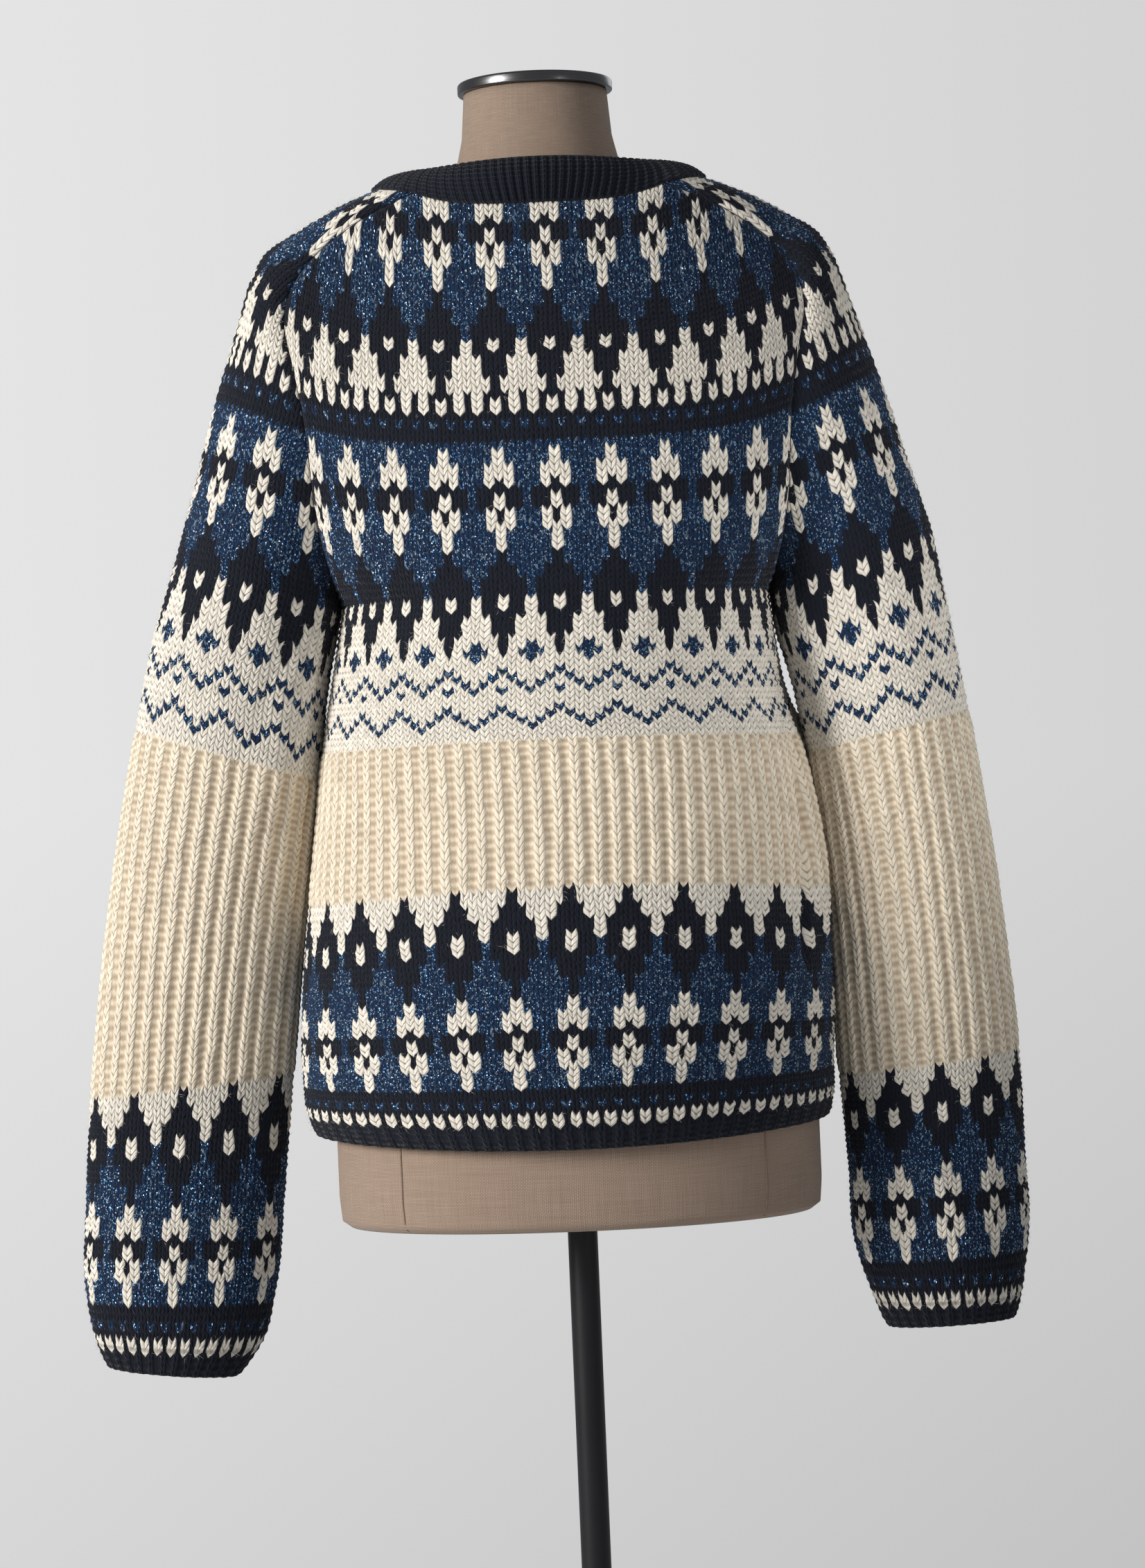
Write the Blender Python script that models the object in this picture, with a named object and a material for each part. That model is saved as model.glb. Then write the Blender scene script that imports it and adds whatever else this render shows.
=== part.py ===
# A raglan sweater on a dress form: a form on a pole and round base, and the knitted
# pieces that are worn over it. Metres, +Z up, origin under the middle of the base.
# The garment's back faces -Y. Its left sleeve is at -X.
#
# A "row" is one course of knitting, counted from the neckline (row 0) down to the hem.
# Each piece is a wall between an outer skin and a plain inner skin. Both skins are
# curves across the piece, one for each sampled row, joined by triangles.
import math
from collections import namedtuple

import bmesh
import bpy
import numpy as np

# Cloth
WALL = 0.003             # thickness of the knit
SEAM_GAP = 0.0004        # clear space between two pieces at a seam
FOOT_GAP = 0.0017        # clear space under the neckband's foot
BAND_WALL = 0.0065       # neckband, which is knitted double
BAND_BULGE = 0.0035      # how far the neckband swells at half its height
RIB_RISE = 0.0013        # how far a rib stands above the mean surface
RIB_DROP = 0.0006        # how far the furrow beside it lies below

# Stand
BASE_RADIUS = 0.19
BASE_EDGE = 0.007        # height of the base at its rim
BASE_CROWN = 0.014       # height of the base beside its boss
BOSS_RADIUS = 0.021
BOSS_TOP = 0.062
SOCKET_FLOOR = 0.020     # bottom of the hole in the boss
POLE_RADIUS = 0.0105
POLE_TOP = 0.790
FIT_GAP = 0.0004         # clear space round and under hard pieces

# Form
FORM_BOTTOM = 0.720
NECK_TOP = 1.5115
CAP_RADIUS = 0.0546
CAP_HEIGHT = 0.0075

# Knitting
PANEL_STITCHES = 90      # across the back, and across the front
SLEEVE_STITCHES = 60     # round one sleeve
BAND_RIBS = 96           # round the neckband
UNDERARM = 57            # row where sleeves and body part
LAST_ROW = {"panel": 138, "sleeve": 160}
RIB_ROWS = {"panel": (81, 98), "sleeve": (81, 121)}

# Outline of the dress form: height, half width, depth behind and in front of the
# pole's axis, and the power of the rounded section (2 is an ellipse, less is a ridge)
Section = namedtuple("Section", "z half_width back front power")
FORM = [
    Section(FORM_BOTTOM, 0.163, 0.109, 0.109, 2.1),
    Section(0.724, 0.1685, 0.114, 0.114, 2.1),
    Section(0.740, 0.1700, 0.116, 0.116, 2.1),
    Section(0.785, 0.1700, 0.117, 0.117, 2.1),
    Section(0.850, 0.160, 0.112, 0.112, 2.2),
    Section(0.935, 0.127, 0.094, 0.098, 2.2),
    Section(1.020, 0.129, 0.098, 0.106, 2.2),
    Section(1.090, 0.136, 0.106, 0.124, 2.2),
    Section(1.150, 0.138, 0.113, 0.122, 2.2),
    Section(1.215, 0.143, 0.112, 0.110, 2.2),
    Section(1.280, 0.161, 0.105, 0.096, 2.2),
    Section(1.330, 0.178, 0.096, 0.086, 2.1),
    Section(1.368, 0.187, 0.084, 0.076, 1.9),
    Section(1.392, 0.186, 0.075, 0.068, 1.7),
    Section(1.4130, 0.1755, 0.070, 0.064, 1.45),
    Section(1.4240, 0.1525, 0.066, 0.061, 1.3),
    Section(1.4317, 0.108, 0.062, 0.059, 1.4),
    Section(1.440, 0.076, 0.059, 0.057, 1.8),
    Section(1.455, 0.059, 0.056, 0.054, 2.0),
    Section(1.480, 0.0530, 0.052, 0.052, 2.0),
    Section(NECK_TOP, 0.0505, 0.0505, 0.0505, 2.0),
]

# The yoke, which both panels and both sleeves share. At each row: where the raglan
# seam is (x, z), the half depth of the sleeve there, how far past its half turn the
# sleeve wraps in under the arm (degrees), and the crest line along the shoulder and
# down the outside of the sleeve (x, z).
Yoke = namedtuple("Yoke", "row seam_x seam_z half_depth wrap crest_x crest_z")
YOKE = [
    Yoke(0, 0.086, 1.431, 0.063, 0, 0.117, 1.439),
    Yoke(7, 0.129, 1.415, 0.052, 0, 0.150, 1.429),
    Yoke(13, 0.162, 1.394, 0.045, 0, 0.177, 1.417),
    Yoke(17, 0.175, 1.375, 0.049, 0, 0.193, 1.407),
    Yoke(21, 0.180, 1.354, 0.056, 0, 0.204, 1.390),
    Yoke(27, 0.175, 1.320, 0.067, 0, 0.216, 1.355),
    Yoke(33, 0.169, 1.285, 0.072, 2, 0.229, 1.317),
    Yoke(39, 0.166, 1.252, 0.073, 10, 0.240, 1.282),
    Yoke(45, 0.164, 1.220, 0.069, 24, 0.249, 1.250),
    Yoke(51, 0.159, 1.187, 0.065, 45, 0.258, 1.221),
    Yoke(54, 0.155, 1.171, 0.063, 63, 0.262, 1.207),
    Yoke(57, 0.1505, 1.155, 0.061, 90, 0.266, 1.194),
]

# The panels. At each row: the height at the middle of the back and of the front, how
# deep each lies from the axis, how much of a half turn the curve across makes
# (degrees each way), and below the arms the place of the side seams.
Panel = namedtuple("Panel", "row back_z front_z back_y front_y turn left_x right_x side_z")
PANEL = [
    Panel(0, 1.420, 1.390, 0.076, 0.079, 46, 0, 0, 0),
    Panel(7, 1.388, 1.362, 0.092, 0.098, 46, 0, 0, 0),
    Panel(13, 1.358, 1.336, 0.104, 0.112, 47, 0, 0, 0),
    Panel(21, 1.320, 1.304, 0.115, 0.125, 50, 0, 0, 0),
    Panel(27, 1.292, 1.281, 0.121, 0.132, 54, 0, 0, 0),
    Panel(33, 1.264, 1.256, 0.126, 0.137, 58, 0, 0, 0),
    Panel(45, 1.208, 1.204, 0.130, 0.142, 68, 0, 0, 0),
    Panel(51, 1.180, 1.178, 0.131, 0.142, 77, 0, 0, 0),
    Panel(57, 1.153, 1.152, 0.131, 0.142, 90, 0.1500, 0.1495, 1.155),
    Panel(66, 1.113, 1.113, 0.130, 0.140, 90, 0.156, 0.151, 1.112),
    Panel(75, 1.075, 1.075, 0.129, 0.137, 90, 0.162, 0.156, 1.074),
    Panel(81, 1.051, 1.051, 0.128, 0.135, 90, 0.166, 0.160, 1.048),
    Panel(90, 0.999, 0.999, 0.129, 0.134, 90, 0.173, 0.167, 0.992),
    Panel(98, 0.953, 0.953, 0.132, 0.135, 90, 0.181, 0.173, 0.943),
    Panel(112, 0.889, 0.889, 0.136, 0.137, 90, 0.189, 0.180, 0.881),
    Panel(126, 0.828, 0.828, 0.138, 0.138, 90, 0.192, 0.182, 0.826),
    Panel(133, 0.798, 0.798, 0.137, 0.137, 90, 0.190, 0.181, 0.801),
    Panel(138, 0.777, 0.777, 0.131, 0.131, 90, 0.184, 0.177, 0.784),
]

# The sleeves below the arms. At each row: the inner and the outer edge seen from
# behind (x, z), the half depth, and how far forward the ring lies.
Sleeve = namedtuple("Sleeve", "row in_x in_z out_x out_z half_depth y")
SLEEVE_LEFT = [
    Sleeve(57, 0.1507, 1.155, 0.266, 1.194, 0.061, 0.000),
    Sleeve(69, 0.165, 1.096, 0.286, 1.134, 0.057, 0.002),
    Sleeve(81, 0.174, 1.034, 0.300, 1.074, 0.052, 0.005),
    Sleeve(101, 0.189, 0.936, 0.324, 0.955, 0.044, 0.010),
    Sleeve(121, 0.202, 0.827, 0.344, 0.816, 0.038, 0.016),
    Sleeve(137, 0.211, 0.737, 0.351, 0.742, 0.036, 0.020),
    Sleeve(150, 0.220, 0.673, 0.354, 0.677, 0.035, 0.023),
    Sleeve(155, 0.229, 0.641, 0.350, 0.648, 0.032, 0.024),
    Sleeve(160, 0.249, 0.613, 0.341, 0.623, 0.026, 0.024),
]
SLEEVE_RIGHT = [
    Sleeve(57, 0.1507, 1.155, 0.266, 1.194, 0.061, 0.000),
    Sleeve(69, 0.163, 1.096, 0.277, 1.128, 0.058, 0.002),
    Sleeve(81, 0.173, 1.040, 0.287, 1.065, 0.054, 0.005),
    Sleeve(101, 0.184, 0.929, 0.303, 0.946, 0.049, 0.010),
    Sleeve(121, 0.188, 0.811, 0.314, 0.824, 0.046, 0.016),
    Sleeve(137, 0.191, 0.744, 0.316, 0.752, 0.044, 0.020),
    Sleeve(150, 0.195, 0.683, 0.316, 0.688, 0.042, 0.023),
    Sleeve(155, 0.204, 0.655, 0.311, 0.656, 0.037, 0.024),
    Sleeve(160, 0.214, 0.629, 0.305, 0.632, 0.028, 0.024),
]

# Soft folds. Each runs from its first row and fraction across to its last ones, and is
# highest nearer its lower end. The largest stands out at the body's right side.
Fold = namedtuple("Fold", "kind side first_row first_at last_row last_at half_width height")
FOLDS = [
    Fold("panel", 1, 59, 0.955, 100, 0.925, 0.070, 0.017),
    Fold("panel", 1, 63, 0.035, 96, 0.080, 0.060, 0.006),
    Fold("sleeve", 1, 40, 0.06, 96, 0.20, 0.060, 0.005),
    Fold("sleeve", -1, 40, 0.06, 92, 0.17, 0.060, 0.004),
    Fold("sleeve", 1, 118, 0.10, 152, 0.30, 0.070, 0.004),
    Fold("sleeve", -1, 118, 0.92, 150, 0.72, 0.070, 0.004),
]

# The neckband's upper edge: half width, depth behind and in front, and its height
# at the back, at the sides and at the front.
BAND_TOP = {"half_width": 0.092, "back": 0.071, "front": 0.073,
            "back_z": 1.458, "side_z": 1.455, "front_z": 1.426}

# Rows that the solids sample, and the number of spans across each skin
PANEL_ROWS = [0, 7, 13, 17, 21, 27, 33, 39, 45, 51, 54, 57, 66, 75, 81, 90, 98, 105, 112, 119,
              126, 132, 138]
SLEEVE_ROWS = [0, 7, 13, 17, 21, 27, 33, 39, 45, 51, 54, 57, 63, 69, 75, 81, 101, 121, 129, 137,
               144, 150, 155, 160]
RIB_SAMPLES = {"panel": [82, 90, 97], "sleeve": [82, 101, 120]}
HEM_RIB_ROWS = {"panel": [133.5, 137.5], "sleeve": [156, 159.5]}
OUTER_SPANS = {"panel": 22, "sleeve": 20}
INNER_SPANS = {"panel": 14, "sleeve": 12}

COLOURS = {"linen": ((0.38, 0.28, 0.21), 0.85, 0.0), "steel": ((0.45, 0.46, 0.48), 0.25, 1.0),
           "black_paint": ((0.012, 0.012, 0.014), 0.4, 0.0), "knit": ((0.62, 0.57, 0.47), 0.9, 0.0),
           "navy_rib": ((0.012, 0.016, 0.03), 0.9, 0.0)}


# Smooth curves through the tables

def smooth(table, column, row):
    rows = np.array([line.row for line in table], float)
    values = np.array([getattr(line, column) for line in table], float)
    row = float(np.clip(row, rows[0], rows[-1]))
    k = int(np.clip(np.searchsorted(rows, row, side="right") - 1, 0, len(rows) - 2))
    slopes = np.gradient(values, rows)
    span = rows[k + 1] - rows[k]
    t = (row - rows[k]) / span
    return float((2 * t**3 - 3 * t**2 + 1) * values[k] + (t**3 - 2 * t**2 + t) * span * slopes[k]
                 + (3 * t**2 - 2 * t**3) * values[k + 1] + (t**3 - t**2) * span * slopes[k + 1])


def evenly(points, fractions):
    # points of a curve at the given fractions of its length
    steps = np.linalg.norm(np.diff(points, axis=0), axis=1)
    along = np.concatenate([[0.0], np.cumsum(steps)])
    along /= along[-1]
    return np.column_stack([np.interp(fractions, along, points[:, k]) for k in range(3)])


def panel_curve(side, row, fractions):
    # side is -1 for the back and 1 for the front, fractions run from -X to +X
    name = "back" if side < 0 else "front"
    middle_z = smooth(PANEL, name + "_z", row)
    depth = smooth(PANEL, name + "_y", row)
    turn = math.radians(smooth(PANEL, "turn", row)) if row < UNDERARM else math.pi / 2
    if row < UNDERARM:
        edge_left = edge_right = smooth(YOKE, "seam_x", row)
        edge_z = smooth(YOKE, "seam_z", row)
        edge_y = smooth(YOKE, "half_depth", row) * math.cos(math.radians(smooth(YOKE, "wrap", row)))
        lift_power = 3.5
    else:
        below = [line for line in PANEL if line.row >= UNDERARM]
        edge_left, edge_right = smooth(below, "left_x", row), smooth(below, "right_x", row)
        edge_z, edge_y, lift_power = smooth(below, "side_z", row), 0.0, 2.0
    angle = np.linspace(-turn, turn, 161)
    across = np.sin(angle) / math.sin(turn)
    bulge = (np.cos(angle) - math.cos(turn)) / (1 - math.cos(turn))
    x = across * np.where(across < 0, edge_left, edge_right)
    y = side * (edge_y + (depth - edge_y) * bulge)
    z = middle_z + (edge_z - middle_z) * np.abs(across) ** lift_power
    return evenly(np.column_stack([x, y, z]), fractions)


def sleeve_curve(side, row, fractions):
    # side is -1 for the left and 1 for the right, fractions run from back to front
    if row < UNDERARM:
        seam = np.array([smooth(YOKE, "seam_x", row), 0.0, smooth(YOKE, "seam_z", row)])
        crest = np.array([smooth(YOKE, "crest_x", row), 0.0, smooth(YOKE, "crest_z", row)])
        half_depth = smooth(YOKE, "half_depth", row)
        wrap = math.radians(smooth(YOKE, "wrap", row))
        reach = (crest - seam) / (1 + math.sin(wrap))
        middle = crest - reach
    else:
        table = SLEEVE_LEFT if side < 0 else SLEEVE_RIGHT
        inner = np.array([smooth(table, "in_x", row), 0.0, smooth(table, "in_z", row)])
        outer = np.array([smooth(table, "out_x", row), 0.0, smooth(table, "out_z", row)])
        half_depth, wrap = smooth(table, "half_depth", row), math.pi / 2
        reach, middle = (outer - inner) / 2, (outer + inner) / 2
        middle[1] = smooth(table, "y", row)
    angle = np.linspace(-wrap, math.pi + wrap, 181)
    points = middle + np.outer(np.sin(angle), reach)
    points[:, 1] -= half_depth * np.cos(angle)
    points[:, 0] *= side
    return evenly(points, fractions)


# Walls

def outward_normals(curve, row, fractions, hub):
    # normals of a skin along one row, turned away from the hub point
    down = curve(min(row + 0.4, LAST_ROW[curve.kind]), fractions) - curve(max(row - 0.4, 0), fractions)
    over = curve(row, np.clip(fractions + 0.004, 0, 1)) - curve(row, np.clip(fractions - 0.004, 0, 1))
    normals = np.cross(down, over)
    normals /= np.linalg.norm(normals, axis=1)[:, None]
    away = np.sum(normals * (curve(row, fractions) - hub(row)), axis=1)
    return normals * np.where(away < 0, -1.0, 1.0)[:, None]


class Skin:
    # one piece's surface: its curve across at any row, and its hub, a point inside it
    def __init__(self, kind, side):
        self.kind, self.side = kind, side

    def __call__(self, row, fractions):
        curve = panel_curve if self.kind == "panel" else sleeve_curve
        return curve(self.side, row, np.asarray(fractions, float))

    def hub(self, row):
        ends = self(row, [0.0, 0.5, 1.0])
        if self.kind == "panel":
            return np.array([0.0, 0.0, ends[1][2]])
        return (ends[0] + ends[2]) / 4 + ends[1] / 2

    def normals(self, row, fractions):
        return outward_normals(self, row, np.asarray(fractions, float), self.hub)


def seam_normal(panel_side, sleeve_side, row):
    # shared by the two pieces that meet at a seam, so that their edges are parallel
    panel_end = 0.0 if sleeve_side < 0 else 1.0
    total = Skin("panel", panel_side).normals(row, [panel_end])[0]
    if row < UNDERARM:
        sleeve_end = 0.0 if panel_side < 0 else 1.0
        total = total + Skin("sleeve", sleeve_side).normals(row, [sleeve_end])[0]
    else:
        total = total + Skin("panel", -panel_side).normals(row, [panel_end])[0]
    return total / np.linalg.norm(total)


def seam_step(skin, end, row, normal):
    # half the seam's gap, square to the seam and in the wall, towards the piece's own side
    along = skin(min(row + 0.5, LAST_ROW[skin.kind]), [end])[0] - skin(max(row - 0.5, 0), [end])[0]
    step = np.cross(along, normal)
    step /= np.linalg.norm(step)
    inside = skin(row, [0.04 if end == 0.0 else 0.96])[0] - skin(row, [end])[0]
    return step * math.copysign(SEAM_GAP / 2, float(np.dot(step, inside)))


def rib_heights(kind, row, count):
    first, last = RIB_ROWS[kind]
    if first < row < last or row in HEM_RIB_ROWS[kind]:
        return np.array([RIB_RISE if k % 2 else -RIB_DROP for k in range(count)])
    return np.zeros(count)


def fold_heights(skin, row, fractions):
    heights = np.zeros(len(fractions))
    for fold in FOLDS:
        along = (row - fold.first_row) / (fold.last_row - fold.first_row)
        if (fold.kind, fold.side) != (skin.kind, skin.side) or not 0 < along < 1:
            continue
        middle = fold.first_at + (fold.last_at - fold.first_at) * along
        across = np.clip(np.abs(fractions - middle) / fold.half_width, 0, 1)
        heights += fold.height * math.sin(math.pi * along**1.8) * (1 - across**2) ** 2
    return heights


def skin_row(skin, row, ribbed, inner):
    # one sampled row of a wall's outer or inner skin, with its ends set back at the seams
    kind, side = skin.kind, skin.side
    stitches = PANEL_STITCHES if kind == "panel" else SLEEVE_STITCHES
    spans = stitches if ribbed and not inner else (INNER_SPANS if inner else OUTER_SPANS)[kind]
    fractions = np.linspace(0, 1, spans + 1)
    points, normals = skin(row, fractions), skin.normals(row, fractions)
    steps = np.zeros_like(points)
    for k, end in ((0, 0.0), (-1, 1.0)):
        if kind == "sleeve" and row >= UNDERARM:
            normals[k] = np.array([-side, 0.0, 0.0])
            continue
        panel_side = side if kind == "panel" else (-1 if end == 0.0 else 1)
        sleeve_side = (-1 if end == 0.0 else 1) if kind == "panel" else side
        normals[k] = seam_normal(panel_side, sleeve_side, row)
        steps[k] = seam_step(skin, end, row, normals[k])
    rise = -np.full(spans + 1, WALL) if inner else rib_heights(kind, row, spans + 1)
    rise += fold_heights(skin, row, fractions)
    rise[[0, -1]] = -WALL if inner else 0.0
    return fractions, points + steps + normals * rise[:, None]


def join_rows(faces, row_a, row_b):
    # triangles between two rows of (fraction, vertex), which may differ in number
    i = j = 0
    while i < len(row_a) - 1 or j < len(row_b) - 1:
        next_a = row_a[i + 1][0] if i < len(row_a) - 1 else math.inf
        next_b = row_b[j + 1][0] if j < len(row_b) - 1 else math.inf
        if next_a <= next_b:
            faces.append((row_a[i][1], row_b[j][1], row_a[i + 1][1]))
            i += 1
        else:
            faces.append((row_a[i][1], row_b[j][1], row_b[j + 1][1]))
            j += 1


def add_row(vertices, fractions, points, closed):
    # closed rows use their first vertex again at the end
    first = len(vertices)
    count = len(points) - (1 if closed else 0)
    vertices.extend(tuple(p) for p in points[:count])
    return [(f, first + (k % count)) for k, f in enumerate(fractions)]


def cloth_wall(name, skin, material):
    # a panel or a sleeve: outer rows, inner rows, and rims round every edge
    kind = skin.kind
    plain = PANEL_ROWS if kind == "panel" else SLEEVE_ROWS
    ribs = RIB_SAMPLES[kind] + HEM_RIB_ROWS[kind]
    rows = sorted(set(plain + ribs))
    vertices, faces, outer, inner = [], [], [], []
    for row in rows:
        closed = kind == "sleeve" and row >= UNDERARM
        fractions, points = skin_row(skin, row, row in ribs, inner=False)
        outer.append(add_row(vertices, fractions, points, closed))
        if row in plain:
            fractions, points = skin_row(skin, row, False, inner=True)
            inner.append(add_row(vertices, fractions, points, closed))
        else:
            inner.append(None)
    for a, b in zip(outer, outer[1:]):
        join_rows(faces, a, b)
    kept = [row for row in inner if row]
    for a, b in zip(kept, kept[1:]):
        join_rows(faces, b, a)
    join_rows(faces, kept[0], outer[0])
    join_rows(faces, outer[-1], kept[-1])
    # side rims, as far down as the piece is open
    open_rows = [k for k, row in enumerate(rows) if kind == "panel" or row <= UNDERARM]
    for end in (0, -1):
        skins = [[(rows[k], skin_list[k][end][1]) for k in open_rows if skin_list[k]]
                 for skin_list in (outer, inner)]
        join_rows(faces, *(skins if end == 0 else skins[::-1]))
    return make_mesh(name, vertices, faces, material)


def make_mesh(name, vertices, faces, material):
    mesh = bpy.data.meshes.new(name)
    mesh.from_pydata([tuple(map(float, v)) for v in vertices], [], faces)
    mesh.validate()
    shaped = bmesh.new()
    shaped.from_mesh(mesh)
    bmesh.ops.recalc_face_normals(shaped, faces=shaped.faces)
    shaped.to_mesh(mesh)
    shaped.free()
    mesh.shade_smooth()
    mesh.set_sharp_from_angle(angle=math.radians(50))
    thing = bpy.data.objects.new(name, mesh)
    mesh.materials.append(finish(name + "_finish", material))
    bpy.context.scene.collection.objects.link(thing)
    return thing


def finish(name, kind):
    colour, roughness, metallic = COLOURS[kind]
    material = bpy.data.materials.new(name)
    material.use_nodes = True
    shader = material.node_tree.nodes["Principled BSDF"]
    shader.inputs["Base Color"].default_value = (*colour, 1.0)
    shader.inputs["Roughness"].default_value = roughness
    shader.inputs["Metallic"].default_value = metallic
    return material


# Neckband

def neckline():
    # the panels' and sleeves' top edges, as one closed loop from the left raglan behind,
    # with one point at each raglan seam
    outer, inner, lift = [], [], []
    for kind, side, backwards in (("panel", -1, False), ("sleeve", 1, False),
                                  ("panel", 1, True), ("sleeve", -1, True)):
        skin = Skin(kind, side)
        fractions, edge = skin_row(skin, 0, False, inner=False)
        wall = skin.normals(0, fractions)
        for k in (0, -1):
            wall[k] = (edge[k] - skin_row(skin, 0, False, True)[1][k]) / WALL
        upward = skin(0, fractions) - skin(0.8, fractions)
        upward /= np.linalg.norm(upward, axis=1)[:, None]
        order = slice(None, None, -1) if backwards else slice(None)
        for loop, points in ((outer, edge), (inner, edge - wall * WALL), (lift, upward)):
            loop.append(points[order])
    for loop in (outer, inner, lift):
        for k in range(4):
            corner = (loop[k - 1][-1] + loop[k][0]) / 2
            loop[k - 1][-1] = loop[k][0] = corner
    return [np.concatenate([part[:-1] for part in loop]) for loop in (outer, inner, lift)]


def band_rim(angle):
    # the neckband's upper edge, at an angle round the neck
    behind = np.sin(angle) < 0
    x = BAND_TOP["half_width"] * np.cos(angle)
    y = np.where(behind, BAND_TOP["back"], BAND_TOP["front"]) * np.sin(angle)
    end_z = np.where(behind, BAND_TOP["back_z"], BAND_TOP["front_z"])
    z = BAND_TOP["side_z"] + (end_z - BAND_TOP["side_z"]) * np.abs(np.sin(angle)) ** 2
    return np.column_stack([x, y, z])


def neckband():
    outer_edge, inner_edge, lift = neckline()
    foot_outer = outer_edge + lift * FOOT_GAP
    foot_inner = inner_edge + lift * FOOT_GAP
    angles = np.unwrap(np.arctan2(foot_outer[:, 1], foot_outer[:, 0]))
    turn = (angles - angles[0]) / (2 * math.pi)
    # the same loop read at even fractions, for the ribs
    loop_turn = np.concatenate([turn, [1.0]])
    loop_foot = np.vstack([foot_outer, foot_outer[:1]])

    def level(height, count, depth, ribbed):
        fractions = np.linspace(0, 1, count + 1)
        angle = angles[0] + fractions * 2 * math.pi
        foot = np.column_stack([np.interp(fractions, loop_turn, loop_foot[:, k]) for k in range(3)])
        rim = band_rim(angle)
        away = np.column_stack([np.cos(angle), np.sin(angle), np.zeros(count + 1)])
        slope = rim - foot
        face = np.cross(slope, np.cross(away, slope))
        face *= np.sign(np.sum(face * away, axis=1))[:, None]
        face /= np.linalg.norm(face, axis=1)[:, None]
        bulge = BAND_BULGE * math.sin(math.pi * min(height, 1.0)) + depth
        rib = np.where(np.arange(count + 1) % 2 == 1, RIB_RISE * 0.7, -RIB_DROP) if ribbed else 0.0
        points = foot + slope * height + face * (bulge + rib * np.ones(count + 1))[:, None]
        return fractions, points

    vertices, faces, rows = [], [], []
    even_turn = np.concatenate([turn, [1.0]])
    rows.append(add_row(vertices, even_turn, np.vstack([foot_outer, foot_outer[:1]]), True))
    for height in (0.2, 0.86):
        rows.append(add_row(vertices, *level(height, 2 * BAND_RIBS, 0.001, True), True))
    for height, depth in ((0.98, -0.0012), (0.975, -BAND_WALL * 0.7), (0.86, -BAND_WALL),
                          (0.34, -BAND_WALL * 0.8)):
        rows.append(add_row(vertices, *level(height, 56, depth, False), True))
    rows.append(add_row(vertices, even_turn, np.vstack([foot_inner, foot_inner[:1]]), True))
    for a, b in zip(rows, rows[1:] + rows[:1]):
        join_rows(faces, a, b)
    return make_mesh("neckband", vertices, faces, "navy_rib")


# Form and stand

def form_ring(section, count):
    angle = np.linspace(0, 2 * math.pi, count, endpoint=False)
    cosine, sine = np.cos(angle), np.sin(angle)
    power = 2.0 / section.power
    x = section.half_width * np.sign(cosine) * np.abs(cosine) ** power
    depth = np.where(sine < 0, section.back, section.front)
    y = depth * np.sign(sine) * np.abs(sine) ** power
    return [(a, b, section.z) for a, b in zip(x, y)]


def dress_form():
    count = 36
    hole = POLE_RADIUS + FIT_GAP
    circle = [(hole * math.cos(2 * math.pi * k / count), hole * math.sin(2 * math.pi * k / count))
              for k in range(count)]
    rings = [[(x, y, z) for x, y in circle] for z in (POLE_TOP + FIT_GAP, FORM_BOTTOM)]
    rings += [form_ring(section, count) for section in FORM]
    vertices = [point for ring in rings for point in ring]
    faces = [tuple(range(count)), tuple(range(len(vertices) - count, len(vertices)))]
    for ring in range(len(rings) - 1):
        for k in range(count):
            here, there = ring * count + k, ring * count + (k + 1) % count
            faces.append((here, there, there + count, here + count))
    return make_mesh("dress_form", vertices, faces, "linen")


def turned(name, profile, material, steps):
    # a profile of (radius, height) points from the axis back to the axis, spun round
    vertices, faces, loops = [], [], []
    for radius, height in profile:
        if radius == 0:
            loops.append([len(vertices)] * steps)
            vertices.append((0.0, 0.0, height))
            continue
        loops.append(list(range(len(vertices), len(vertices) + steps)))
        vertices += [(radius * math.cos(2 * math.pi * k / steps),
                      radius * math.sin(2 * math.pi * k / steps), height) for k in range(steps)]
    for low, high in zip(loops, loops[1:]):
        for k in range(steps):
            corners = (low[k], low[(k + 1) % steps], high[(k + 1) % steps], high[k])
            faces.append(tuple(dict.fromkeys(corners)))
    return make_mesh(name, vertices, faces, material)


def stand():
    socket = POLE_RADIUS + FIT_GAP
    turned("base", [(0, 0), (BASE_RADIUS - 0.002, 0), (BASE_RADIUS, 0.002), (BASE_RADIUS, BASE_EDGE - 0.002),
                    (BASE_RADIUS - 0.003, BASE_EDGE), (0.12, BASE_CROWN - 0.003), (0.05, BASE_CROWN),
                    (BOSS_RADIUS + 0.006, BASE_CROWN + 0.003), (BOSS_RADIUS, BASE_CROWN + 0.012),
                    (BOSS_RADIUS - 0.002, BOSS_TOP - 0.002), (BOSS_RADIUS - 0.004, BOSS_TOP),
                    (socket, BOSS_TOP), (socket, SOCKET_FLOOR), (0, SOCKET_FLOOR)], "black_paint", 36)
    turned("pole", [(0, SOCKET_FLOOR + FIT_GAP), (POLE_RADIUS, SOCKET_FLOOR + FIT_GAP),
                    (POLE_RADIUS, POLE_TOP), (0, POLE_TOP)], "black_paint", 24)
    low = NECK_TOP + FIT_GAP
    turned("neck_cap", [(0, low), (CAP_RADIUS - 0.001, low), (CAP_RADIUS, low + 0.001),
                        (CAP_RADIUS, low + CAP_HEIGHT - 0.0015), (CAP_RADIUS - 0.0015, low + CAP_HEIGHT),
                        (CAP_RADIUS - 0.004, low + CAP_HEIGHT), (CAP_RADIUS - 0.0055, low + CAP_HEIGHT - 0.002),
                        (0, low + CAP_HEIGHT - 0.002)], "steel", 32)


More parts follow.
